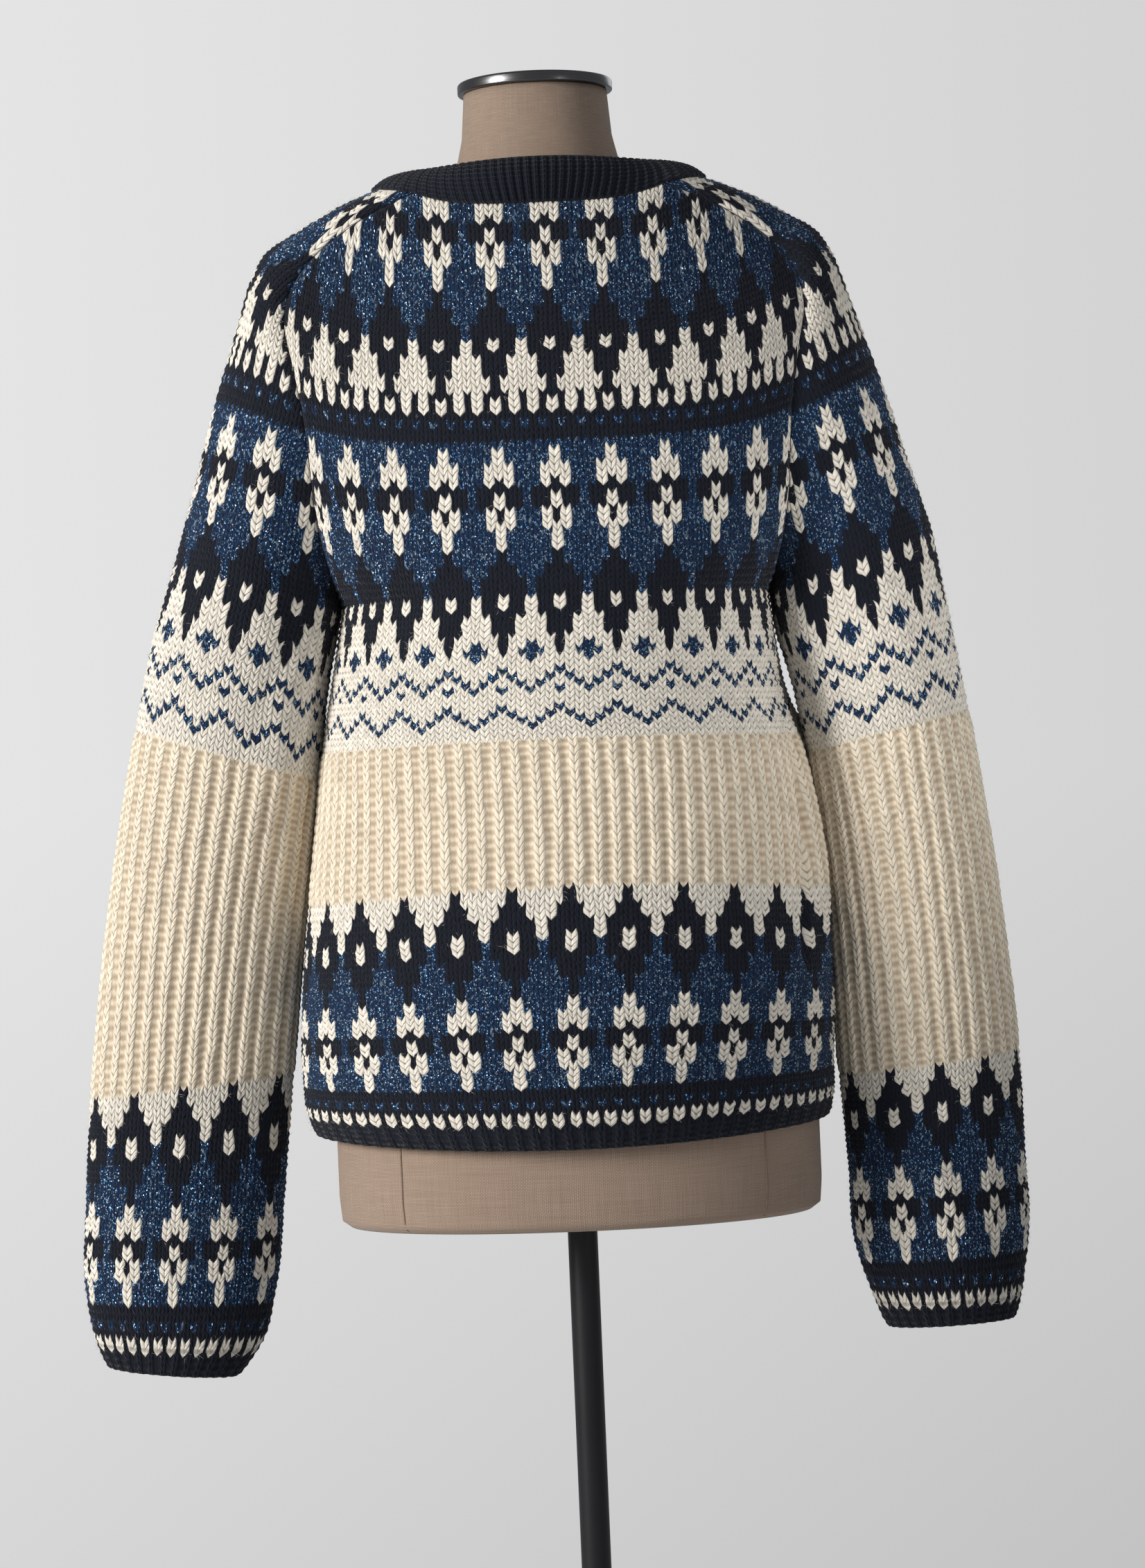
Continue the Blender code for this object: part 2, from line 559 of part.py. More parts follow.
def main():
    for thing in list(bpy.data.objects):
        bpy.data.objects.remove(thing, do_unlink=True)
    stand()
    dress_form()
    cloth_wall("back_panel", Skin("panel", -1), "knit")
    cloth_wall("front_panel", Skin("panel", 1), "knit")
    cloth_wall("sleeve_left", Skin("sleeve", -1), "knit")
    cloth_wall("sleeve_right", Skin("sleeve", 1), "knit")
    neckband()


main()
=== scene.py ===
import math

import bmesh
import bpy
import numpy as np
from mathutils import Matrix, Vector


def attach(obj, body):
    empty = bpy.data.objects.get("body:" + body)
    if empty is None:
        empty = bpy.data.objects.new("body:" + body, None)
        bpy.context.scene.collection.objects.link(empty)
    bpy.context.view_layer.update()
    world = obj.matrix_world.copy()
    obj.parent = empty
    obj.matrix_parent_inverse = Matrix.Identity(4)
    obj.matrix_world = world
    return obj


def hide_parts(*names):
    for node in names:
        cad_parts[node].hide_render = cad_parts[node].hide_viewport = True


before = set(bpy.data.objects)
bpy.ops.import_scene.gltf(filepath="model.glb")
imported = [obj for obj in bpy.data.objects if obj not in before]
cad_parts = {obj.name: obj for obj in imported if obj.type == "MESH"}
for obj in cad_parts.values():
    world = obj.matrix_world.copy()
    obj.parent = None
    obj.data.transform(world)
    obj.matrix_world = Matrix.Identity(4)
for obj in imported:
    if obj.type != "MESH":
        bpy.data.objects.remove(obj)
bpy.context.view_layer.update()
dice = np.random.default_rng(41)


def table(names, *lines):
    return dict(zip(names.split(), np.array(lines, float).T))


# ---- shape of the garment, from the same rows as the solids under it
yoke = table("row seamX seamZ halfDepth wrap crestX crestZ",
             (0, 0.086, 1.437, 0.063, 0, 0.117, 1.445),
             (7, 0.129, 1.418, 0.052, 0, 0.150, 1.432),
             (13, 0.162, 1.394, 0.045, 0, 0.177, 1.417),
             (17, 0.175, 1.375, 0.049, 0, 0.193, 1.407),
             (21, 0.180, 1.354, 0.056, 0, 0.204, 1.390),
             (27, 0.175, 1.320, 0.067, 0, 0.216, 1.355),
             (33, 0.169, 1.285, 0.072, 2, 0.229, 1.317),
             (39, 0.166, 1.252, 0.073, 10, 0.240, 1.282),
             (45, 0.164, 1.220, 0.069, 24, 0.249, 1.250),
             (51, 0.159, 1.187, 0.065, 45, 0.258, 1.221),
             (54, 0.155, 1.171, 0.063, 63, 0.262, 1.207),
             (57, 0.1505, 1.155, 0.061, 90, 0.266, 1.194))

panelRows = table("row backZ frontZ backY frontY turn leftX rightX sideZ",
                  (0, 1.426, 1.396, 0.076, 0.079, 46, 0, 0, 0),
                  (7, 1.391, 1.365, 0.092, 0.098, 46, 0, 0, 0),
                  (13, 1.358, 1.336, 0.104, 0.112, 47, 0, 0, 0),
                  (21, 1.320, 1.304, 0.115, 0.125, 50, 0, 0, 0),
                  (27, 1.292, 1.281, 0.121, 0.132, 54, 0, 0, 0),
                  (33, 1.264, 1.256, 0.126, 0.137, 58, 0, 0, 0),
                  (45, 1.208, 1.204, 0.130, 0.142, 68, 0, 0, 0),
                  (51, 1.180, 1.178, 0.131, 0.142, 77, 0, 0, 0),
                  (57, 1.153, 1.152, 0.131, 0.142, 90, 0.1500, 0.1495, 1.155),
                  (66, 1.113, 1.113, 0.130, 0.140, 90, 0.158, 0.1535, 1.112),
                  (75, 1.075, 1.075, 0.129, 0.137, 90, 0.165, 0.157, 1.074),
                  (81, 1.051, 1.051, 0.128, 0.135, 90, 0.1695, 0.1645, 1.048),
                  (90, 0.999, 0.999, 0.129, 0.134, 90, 0.1765, 0.1735, 0.992),
                  (98, 0.953, 0.953, 0.132, 0.135, 90, 0.183, 0.178, 0.943),
                  (112, 0.889, 0.889, 0.136, 0.137, 90, 0.190, 0.184, 0.881),
                  (126, 0.828, 0.828, 0.138, 0.138, 90, 0.192, 0.182, 0.826),
                  (133, 0.798, 0.798, 0.137, 0.137, 90, 0.190, 0.181, 0.801),
                  (138, 0.777, 0.777, 0.131, 0.131, 90, 0.184, 0.177, 0.784))
bodyRows = {name: values[8:] for name, values in panelRows.items()}     # from the underarm down

sleeveNames = "row inX inZ outX outZ halfDepth y"
sleeveRows = {
    -1: table(sleeveNames,
              (57, 0.1507, 1.155, 0.266, 1.194, 0.061, 0.000),
              (69, 0.164, 1.096, 0.286, 1.134, 0.057, 0.002),
              (81, 0.1715, 1.034, 0.300, 1.074, 0.052, 0.005),
              (101, 0.1865, 0.936, 0.324, 0.955, 0.044, 0.010),
              (121, 0.2005, 0.827, 0.344, 0.816, 0.038, 0.016),
              (137, 0.211, 0.737, 0.351, 0.742, 0.036, 0.020),
              (150, 0.220, 0.673, 0.354, 0.677, 0.035, 0.023),
              (155, 0.229, 0.641, 0.350, 0.648, 0.032, 0.024),
              (160, 0.249, 0.613, 0.341, 0.623, 0.026, 0.024)),
    1: table(sleeveNames,
             (57, 0.1507, 1.155, 0.266, 1.194, 0.061, 0.000),
             (63, 0.1540, 1.127, 0.2715, 1.161, 0.0595, 0.001),
             (69, 0.1625, 1.096, 0.277, 1.128, 0.058, 0.002),
             (81, 0.172, 1.040, 0.287, 1.065, 0.054, 0.005),
             (101, 0.182, 0.929, 0.303, 0.946, 0.049, 0.010),
             (121, 0.187, 0.811, 0.314, 0.824, 0.046, 0.016),
             (137, 0.191, 0.744, 0.316, 0.752, 0.044, 0.020),
             (150, 0.195, 0.683, 0.316, 0.688, 0.042, 0.023),
             (155, 0.204, 0.655, 0.311, 0.656, 0.037, 0.024),
             (160, 0.214, 0.629, 0.305, 0.632, 0.028, 0.024)),
}

# soft folds: piece, first row and place across, last row and place, half width, height
folds = [
    ("panel", -1, 62, 0.985, 112, 0.860, 0.018, -0.009),
    ("panel", -1, 64, 1.000, 112, 0.935, 0.050, 0.007),
    ("panel", 1, 59, 0.955, 100, 0.925, 0.070, 0.017),
    ("panel", 1, 63, 0.035, 96, 0.080, 0.060, 0.006),
    ("sleeve", 1, 40, 0.06, 96, 0.20, 0.060, 0.005),
    ("sleeve", -1, 40, 0.06, 92, 0.17, 0.060, 0.004),
    ("sleeve", 1, 118, 0.10, 152, 0.30, 0.070, 0.004),
    ("sleeve", -1, 118, 0.92, 150, 0.72, 0.070, 0.004),
]

knit = {
    "underarm": 57,
    "stitches": {"panel": 78, "sleeve": 60},
    "lastRow": {"panel": 138, "sleeve": 160},
    "ribRows": {"panel": (81, 98), "sleeve": (81, 121)},
    "hemRow": {"panel": 134, "sleeve": 156},     # where the ribbed hem or cuff begins
    # some courses of the chart, and the rows of the shape that they lie on
    "courses": {"panel": (0, 12, 24, 38, 44, 56, 63, 81, 98, 130, 138),
                "sleeve": (0, 12, 24, 38, 57, 160)},
    "courseRows": {"panel": (0, 12.1, 21.8, 36.6, 43.3, 55.3, 62.0, 80.0, 97.6, 129.8, 138),
                   "sleeve": (0, 12.2, 22.4, 37.4, 57, 160)},
    "wall": 0.003,
    "vDepth": 0.78,          # rows that a stitch's legs climb from its middle to its edge
    "stitchHeight": 0.0014,
    "ribHeight": 0.0030,
    "seamGap": 0.0004,
    "seamRoll": 0.0009,      # how far the last stitches turn in at a seam
    "spread": (0.87, 1.13),  # how far the middle stitches are drawn apart: at the hem, at the chest
    "purlSqueeze": 0.04,     # share of a stitch by which a purl column is drawn in at each side
    "hemRelief": 0.3,        # share of the ribs' height that the hem and cuffs have
    "wander": 0.075,         # how unevenly a hand-knitted stitch lies, in stitches
    "crowding": 0.17,        # how far a white stitch pushes the next one aside, in stitches
    "puff": 0.00030,         # how far the white stitches swell past the dark ones
    "rim": 0.0012,           # how far the knitting turns in at the neckline, hem and cuffs
    "fleckShare": 0.035,     # share of the blue stitches' faces that are grey
    "firstFlower": {"panel": 39, "sleeve": 27},  # the stitch in the middle of a flower
}

# the colour attribute of each yarn: white, navy, blue and the ivory of the ribbed band
yarnMarks = {"W": (0, 0, 0, 1), "N": (1, 0, 0, 1), "B": (0, 1, 0, 1), "I": (0, 0, 1, 1)}

# loose fibres over the knitting
fuzz = {"hairs": 34000, "length": (0.0016, 0.0042), "lift": (0.15, 0.9), "width": 0.00010,
        "depth": 0.0003, "scatter": 0.0008}


def smooth(rows, name, row):
    places, values = rows["row"], rows[name]
    row = np.clip(row, places[0], places[-1])
    k = np.clip(np.searchsorted(places, row, side="right") - 1, 0, len(places) - 2)
    slopes = np.gradient(values, places)
    span = places[k + 1] - places[k]
    t = (row - places[k]) / span
    return ((2 * t**3 - 3 * t**2 + 1) * values[k] + (t**3 - 2 * t**2 + t) * span * slopes[k]
            + (3 * t**2 - 2 * t**3) * values[k + 1] + (t**3 - t**2) * span * slopes[k + 1])


def panelLine(side, row):
    # one row of a panel as a fine line of points, from -X to +X
    name = "back" if side < 0 else "front"
    middleZ, depth = smooth(panelRows, name + "Z", row), smooth(panelRows, name + "Y", row)
    if row < knit["underarm"]:
        turn = math.radians(smooth(panelRows, "turn", row))
        left = right = smooth(yoke, "seamX", row)
        edgeZ, power = smooth(yoke, "seamZ", row), 3.5
        edgeY = smooth(yoke, "halfDepth", row) * math.cos(math.radians(smooth(yoke, "wrap", row)))
    else:
        turn, edgeY, power = math.pi / 2, 0.0, 2.0
        left, right = smooth(bodyRows, "leftX", row), smooth(bodyRows, "rightX", row)
        edgeZ = smooth(bodyRows, "sideZ", row)
    angle = np.linspace(-turn, turn, 161)
    across = np.sin(angle) / math.sin(turn)
    bulge = (np.cos(angle) - math.cos(turn)) / (1 - math.cos(turn))
    return np.column_stack([across * np.where(across < 0, left, right),
                            side * (edgeY + (depth - edgeY) * bulge),
                            middleZ + (edgeZ - middleZ) * np.abs(across) ** power])


def sleeveLine(side, row):
    # one row of a sleeve, from its back seam over the outside to its front seam
    if row < knit["underarm"]:
        seam = np.array([smooth(yoke, "seamX", row), 0.0, smooth(yoke, "seamZ", row)])
        crest = np.array([smooth(yoke, "crestX", row), 0.0, smooth(yoke, "crestZ", row)])
        halfDepth = smooth(yoke, "halfDepth", row)
        wrap = math.radians(smooth(yoke, "wrap", row))
        reach = (crest - seam) / (1 + math.sin(wrap))
        middle = crest - reach
    else:
        rows = sleeveRows[side]
        inner = np.array([smooth(rows, "inX", row), 0.0, smooth(rows, "inZ", row)])
        outer = np.array([smooth(rows, "outX", row), 0.0, smooth(rows, "outZ", row)])
        halfDepth, wrap = smooth(rows, "halfDepth", row), math.pi / 2
        reach, middle = (outer - inner) / 2, (outer + inner) / 2
        middle[1] = smooth(rows, "y", row)
    angle = np.linspace(-wrap, math.pi + wrap, 181)
    points = middle + np.outer(np.sin(angle), reach)
    points[:, 1] -= halfDepth * np.cos(angle)
    points[:, 0] *= side
    return points


def lineLength(points):
    return np.linalg.norm(np.diff(points, axis=0), axis=1).sum()


def readLine(points, fractions):
    steps = np.linalg.norm(np.diff(points, axis=0), axis=1)
    along = np.concatenate([[0.0], np.cumsum(steps)])
    return np.column_stack([np.interp(fractions, along / along[-1], points[:, k]) for k in range(3)])


def unit(vectors):
    return vectors / np.linalg.norm(vectors, axis=-1, keepdims=True)


def skinPoints(kind, side, rows, fractions):
    line = panelLine if kind == "panel" else sleeveLine
    return np.array([readLine(line(side, row), fraction) for row, fraction in zip(rows, fractions)])


def skinNormals(kind, side, rows, fractions):
    last = knit["lastRow"][kind]
    down = (skinPoints(kind, side, np.minimum(rows + 0.4, last), fractions)
            - skinPoints(kind, side, np.maximum(rows - 0.4, 0), fractions))
    over = (skinPoints(kind, side, rows, np.clip(fractions + 0.004, 0, 1))
            - skinPoints(kind, side, rows, np.clip(fractions - 0.004, 0, 1)))
    normals = unit(np.cross(down, over))
    ends = skinPoints(kind, side, rows, np.tile([0.0, 0.5, 1.0], (len(rows), 1)))
    if kind == "panel":
        hub = ends[:, 1] * [0, 0, 1]
    else:
        hub = (ends[:, 0] + ends[:, 2]) / 4 + ends[:, 1] / 2
    away = np.sum(normals * (skinPoints(kind, side, rows, fractions) - hub[:, None]), axis=2)
    return normals * np.where(away < 0, -1.0, 1.0)[..., None]


def foldHeights(kind, side, rows, fractions):
    heights = np.zeros(fractions.shape)
    for foldKind, foldSide, firstRow, firstAt, lastRow, lastAt, halfWidth, height in folds:
        if (foldKind, foldSide) != (kind, side):
            continue
        along = np.clip((rows - firstRow) / (lastRow - firstRow), 0, 1)[:, None]
        middle = firstAt + (lastAt - firstAt) * along
        across = np.clip(np.abs(fractions - middle) / halfWidth, 0, 1)
        heights += height * np.sin(math.pi * along**1.8) * (1 - across**2) ** 2
    return heights


def columnPlaces(kind, side, rows):
    # where every quarter stitch lies across, as a fraction of each row's length
    stitches, underarm = knit["stitches"][kind], knit["underarm"]
    place = np.arange(4 * stitches + 1) / 4.0
    line = panelLine if kind == "panel" else sleeveLine
    fullLength = lineLength(line(side, underarm))
    ribShift = np.array([-1.0, -0.5, 0.0, 0.5, 1.0, 0.5, 0.0, -0.5])[np.arange(len(place)) % 8]
    fractions = []
    for row in rows:
        spread = 1.0
        if kind == "panel":
            spread = np.interp((knit["lastRow"][kind] - row) / 60, (0, 1), knit["spread"])
        u = (place + ribShift * knit["purlSqueeze"] * ribShare(kind, row)) * 2 / stitches - 1
        offset = spread * u + (1 - spread) * u**3
        scale = fullLength / lineLength(line(side, row)) if row < underarm else 1.0
        fractions.append(np.clip(0.5 + 0.5 * offset * scale, 0, 1))
    return np.array(fractions)


def skinGrid(kind, side, rows, fractions):
    # points and normals of a skin, with the seams' shared normals and gaps at its ends
    points = skinPoints(kind, side, rows, fractions)
    normals = skinNormals(kind, side, rows, fractions)
    points += normals * foldHeights(kind, side, rows, fractions)[..., None]
    above = rows < knit["underarm"]
    linked = np.ones(len(rows), bool) if kind == "panel" else above
    sleeveEnd = 0.0 if side < 0 else 1.0

    def line(end):
        return np.full((len(rows), 1), end)

    for end, otherSide, atEnd in ((0.0, -1, fractions <= 0), (1.0, 1, fractions >= 1)):
        own = skinNormals(kind, side, rows, line(end))
        if kind == "panel":
            partner = np.where(above[:, None, None], skinNormals("sleeve", otherSide, rows, line(sleeveEnd)),
                               skinNormals("panel", -side, rows, line(end)))
        else:
            partner = skinNormals("panel", otherSide, np.minimum(rows, knit["underarm"]), line(sleeveEnd))
        shared = unit(own + partner)
        if kind == "sleeve":
            shared = np.where(linked[:, None, None], shared, [-side, 0.0, 0.0])
        inward = unit(skinPoints(kind, side, rows, line(abs(end - 0.04)))
                      - skinPoints(kind, side, rows, line(end)))
        step = inward * knit["seamGap"] / 2 * linked[:, None, None]
        normals = np.where(atEnd[..., None], shared, normals)
        points = np.where(atEnd[..., None], points + step, points)
    return points, normals


# ---- the chart: six stitches repeat across. W white, N navy, B blue with glitter
flower = ["WBBBBB", "WBBBBB", "WWBBBW", "WWBBBW", "NWBBBW", "NNNBNN", "WNNBNN",
          "WNNBNN", "NWBBBW", "NWBBBW", "WWBBBW", "WBBBBB", "WBBBBB", "WBBBBB"]
spike = ["NBBBBB"] * 2 + ["NNBBBN"] * 2 + ["NNNBNN"] * 3
smallTree = (["WNNWNN"] * 2 + ["NNNWNN"] + ["NNWWWN"] * 3 + ["NWWWWW"] * 2 + ["NNWNWN"]
             + ["WNWNWN"] * 2 + ["NNNNNN", "NBNBNB"] + ["NNNNNN"] * 2 + ["BBBBBB"])
diamondTree = (["WNNWNN"] * 2 + ["NNNWNN"] + ["NNWWWN"] * 3
               + ["NWWWWW", "NWWBWW", "NWBBBW", "WWWBWW", "WWWWWW"])
zigzag = ["BWWWWW", "WBWWWB", "WWBWBW", "BWWBWW", "WWWWWW", "WWWWWW",
          "BWWWWW", "WBWWWB", "WWBWBW", "WWWBWW", "WWWWWW", "WWWWWW"]
teeth = (["NWWWWW"] * 2 + ["NNWWWN"] * 2 + ["NNNWNN"] * 2 + ["WNNWNN"] + ["WNNBNN"] * 2 + ["NNNBNN"]
         + ["NNBBBN"] * 3 + ["NBBBBB"] * 3)
border = ["NNNNNN"] * 2 + ["NBNBNB", "NNNNNN"] + ["WNWNWN"] * 2 + ["NNNNNN"] * 4


def chartRows(kind):
    first, last = knit["ribRows"][kind]
    top = flower[2:] + spike[:1] + spike[:3] + spike[2:] + smallTree + flower + spike + diamondTree + zigzag
    rib = ["IIIIII"] * (last - first)
    rows = top[:first] + rib + teeth + flower + border
    return rows[:knit["lastRow"][kind]]


def ribShare(kind, row):
    first, last = knit["ribRows"][kind]
    return np.clip(row - first, 0, 1) * np.clip(last - row, 0, 1)


def reliefHeights(kind, lines):
    # how far every point of the stitch grid stands out: lines are half rows
    stitches = knit["stitches"][kind]
    column = np.arange(4 * stitches + 1)
    row = lines / 2.0
    middle = (lines % 2 == 1)[:, None]
    quarter = column % 4
    lowRow = np.array([0.10, 0.30, 0.00, 0.30])[quarter]
    midRow = np.array([0.25, 1.00, 0.20, 1.00])[quarter]
    plain = (np.where(middle, midRow, lowRow) - 0.45) * knit["stitchHeight"]
    eighth = column % 8
    ridgeLow = np.array([0.45, 0.82, 0.62, 0.82, 0.45, 0.08, 0.0, 0.08])[eighth]
    ridgeMid = np.array([0.50, 1.00, 0.70, 1.00, 0.50, 0.15, 0.22, 0.15])[eighth]
    ridge = (np.where(middle, ridgeMid, ridgeLow) - 0.40) * knit["ribHeight"]
    hemHeights = plain * 0.6 + ridge * knit["hemRelief"]
    inRib = ribShare(kind, row)[:, None]
    inHem = np.clip(row - knit["hemRow"][kind], 0, 1)[:, None]
    return plain * (1 - inRib) * (1 - inHem) + ridge * inRib + hemHeights * inHem


def courseRows(kind, courses):
    return np.interp(courses, knit["courses"][kind], knit["courseRows"][kind])


def unevenness(kind):
    # smooth random shifts over the stitch grid, alike at both ends of a row
    stitches, last = knit["stitches"][kind], knit["lastRow"][kind]
    loose = dice.normal(0.0, knit["wander"], (last + 1, stitches + 1))
    loose[:, -1] = loose[:, 0]
    place = np.arange(4 * stitches + 1) / 4
    wide = np.array([np.interp(place, np.arange(stitches + 1), line) for line in loose])
    return np.repeat(wide, 2, axis=0)[:2 * last + 1]


def crowding(pale, lines):
    # white stitches are thicker, so they push the stitch lines beside them aside
    push = (np.roll(pale, 1, axis=1).astype(float) - pale) * knit["crowding"]
    push[pale.mean(axis=1) > 0.6] *= -0.6        # a few dark stitches on white swell instead
    push = np.concatenate([push, push[:, :1]], axis=1)
    shifts = np.zeros((len(pale), 4 * pale.shape[1] + 1))
    shifts[:, ::4] = push
    shifts[:, 1::4] = push[:, :-1] / 2
    shifts[:, 3::4] = push[:, 1:] / 2
    row = np.arange(lines)
    low, high = np.clip((row - 1) // 2, 0, len(pale) - 1), np.clip(row // 2, 0, len(pale) - 1)
    return (shifts[low] + shifts[high]) / 2


def knitPiece(name, kind, side):
    # a wall: stitches outside, a plain purl side inside, joined all round
    stitches, last, underarm = knit["stitches"][kind], knit["lastRow"][kind], knit["underarm"]
    closed = kind == "sleeve"
    lines = np.arange(0, 2 * last + 1)
    halfRows = lines / 2.0
    shapeRows = courseRows(kind, halfRows)
    fractions = columnPlaces(kind, side, shapeRows)
    column = np.arange(4 * stitches + 1)
    edge = np.clip(np.minimum(fractions, 1 - fractions) * stitches, 0, 1)
    marks = [[course[(c - knit["firstFlower"][kind]) % 6] for c in range(stitches)]
             for course in chartRows(kind)]
    pale = np.array(marks) == "W"
    fractions = fractions + (unevenness(kind) + crowding(pale, len(lines))) * edge / stitches
    points, normals = skinGrid(kind, side, shapeRows, fractions)

    # the stitches' legs climb from their middle to their edge, but not at rims and seams
    fromMiddle = np.abs((column % 4) / 2.0 - 1.0)
    climb = knit["vDepth"] * (0.5 - fromMiddle)
    ends = np.minimum(np.clip(halfRows, 0, 1), np.clip(last - halfRows, 0, 1))
    stitchWidth = 1.0 / stitches
    sides = np.clip(np.minimum(fractions, 1 - fractions) / stitchWidth, 0, 1)
    if closed:
        sides[halfRows > underarm] = 1.0
    place = halfRows[:, None] + (climb[None] + unevenness(kind) * 1.3) * ends[:, None] * sides
    place = np.clip(place, 0, last)
    low = np.clip(np.floor(place * 2).astype(int), 0, 2 * last - 1)
    part = (place * 2 - low)[..., None]
    outer = points[low, column] * (1 - part) + points[low + 1, column] * part
    facing = unit(normals[low, column] * (1 - part) + normals[low + 1, column] * part)
    across = fractions[low, column] * (1 - part[..., 0]) + fractions[low + 1, column] * part[..., 0]

    rise = reliefHeights(kind, lines)
    swell = np.array([0.0, 1.0, 0.6, 1.0])[column[:-1] % 4]
    swell = swell * pale[np.minimum(lines // 2, last - 1)][:, column[:-1] // 4]
    rise[:, :-1] += knit["puff"] * swell * np.where(lines % 2 == 1, 1.0, 0.35)[:, None]
    rise += unevenness(kind) * knit["stitchHeight"] * 1.5
    nearSeam = 1 - np.clip(np.minimum(across, 1 - across) / (1.2 * stitchWidth), 0, 1)
    if closed:
        nearSeam *= (place < underarm)
    rise = rise * (1 - nearSeam) - knit["seamRoll"] * nearSeam**2
    rim = np.clip(1 - lines / 3.0, 0, 1) + np.clip(1 - (2 * last - lines) / 3.0, 0, 1)
    rise -= knit["rim"] * (rim**2)[:, None]
    outer = outer + facing * rise[..., None]
    codes = np.array([[yarnMarks[mark] for mark in course] for course in marks], float)
    hairs = woolHairs(name.replace("knit", "fuzz"), outer, facing, across, place, codes)

    # inside: one point each stitch and every third row
    innerRows = np.unique(np.concatenate([np.arange(0, last, 3), [underarm, last]])).astype(float)
    innerShape = courseRows(kind, innerRows)
    innerAcross = columnPlaces(kind, side, innerShape)[:, ::4]
    innerPoints, innerNormals = skinGrid(kind, side, innerShape, innerAcross)
    inner = innerPoints - innerNormals * knit["wall"]

    faces, uvs, yarn, tone = [], [], [], []
    wide, innerWide = outer.shape[1], inner.shape[1]
    vertices = np.concatenate([outer.reshape(-1, 3), inner.reshape(-1, 3)])
    tint = dice.random((last + 1, stitches, 3))
    firstRib, lastRib = knit["ribRows"][kind]
    # inside faces and rims have a purl stitch shape; the inside of the ivory ribs also takes the furrows'
    # painted shade
    insideTone = (0.5, 1.0, 0.0, 1.0)

    def outerIndex(line, c):
        ring = closed and place[line, 0] >= underarm - 1e-6
        return line * wide + (0 if ring and c == wide - 1 else c)

    def innerIndex(k, c):
        ring = closed and innerRows[k] >= underarm
        return outer.shape[0] * wide + k * innerWide + (0 if ring and c == innerWide - 1 else c)

    def addFace(corners, places, mark, look):
        faces.append(corners)
        uvs.extend(places)
        yarn.extend([yarnMarks[mark]] * len(corners))
        tone.extend([look] * len(corners))

    def hasWidth(grid, k, c):
        # no face where both rows have ended before this column
        return min(grid[k, c], grid[k + 1, c]) < 1 and max(grid[k, c + 1], grid[k + 1, c + 1]) > 0

    for line in range(2 * last):
        row = line // 2
        for c in range(wide - 1):
            if not hasWidth(across, line, c):
                continue
            grid = ((line, c), (line, c + 1), (line + 1, c + 1), (line + 1, c))
            mark = marks[row][c // 4]
            ribbed = firstRib <= row < lastRib or row >= knit["hemRow"][kind]
            # purl columns of the ribs and hem: their stitch shape, and the mask of the ivory furrows' painted
            # shade
            furrow = 1.0 if ribbed and c // 4 % 2 else 0.0
            fleck = 1.0 if mark == "B" and dice.random() < knit["fleckShare"] else 0.0
            addFace([outerIndex(*corner) for corner in grid], [(x / 4.0, place[y, x]) for y, x in grid],
                    mark, (tint[row, c // 4, 0], furrow, fleck, 1.0))
    for k in range(len(innerRows) - 1):
        for c in range(innerWide - 1):
            if not hasWidth(innerAcross, k, c):
                continue
            grid = ((k, c), (k + 1, c), (k + 1, c + 1), (k, c + 1))
            addFace([innerIndex(*corner) for corner in grid], [(x, innerRows[y]) for y, x in grid],
                    marks[int(min(innerRows[k], last - 1))][c], insideTone)

    # rims at the neckline, at the hem or cuff, and down the open sides
    def bridge(outerLine, innerLine):
        a = b = 0
        while a < len(outerLine) - 1 or b < len(innerLine) - 1:
            nextA = outerLine[a + 1][0] if a < len(outerLine) - 1 else math.inf
            nextB = innerLine[b + 1][0] if b < len(innerLine) - 1 else math.inf
            corner = [outerLine[a][1], innerLine[b][1]]
            if nextA <= nextB:
                a += 1
                corner.append(outerLine[a][1])
            else:
                b += 1
                corner.append(innerLine[b][1])
            if len(set(corner)) == 3:
                addFace(corner, [(0.0, 0.0)] * 3, "N", insideTone)

    for line, k in ((0, 0), (2 * last, len(innerRows) - 1)):
        bridge([(across[line, c] + c * 1e-7, outerIndex(line, c)) for c in range(wide)],
               [(innerAcross[k, c] + c * 4e-7, innerIndex(k, c)) for c in range(innerWide)])
    for c, innerC in ((0, 0), (wide - 1, innerWide - 1)):
        bridge([(place[line, c], outerIndex(line, c)) for line in lines
                if not closed or place[line, c] <= underarm],
               [(row, innerIndex(k, innerC)) for k, row in enumerate(innerRows)
                if not closed or row <= underarm])
    return meshPiece(name, vertices, faces, uvs, yarn, tone), hairs


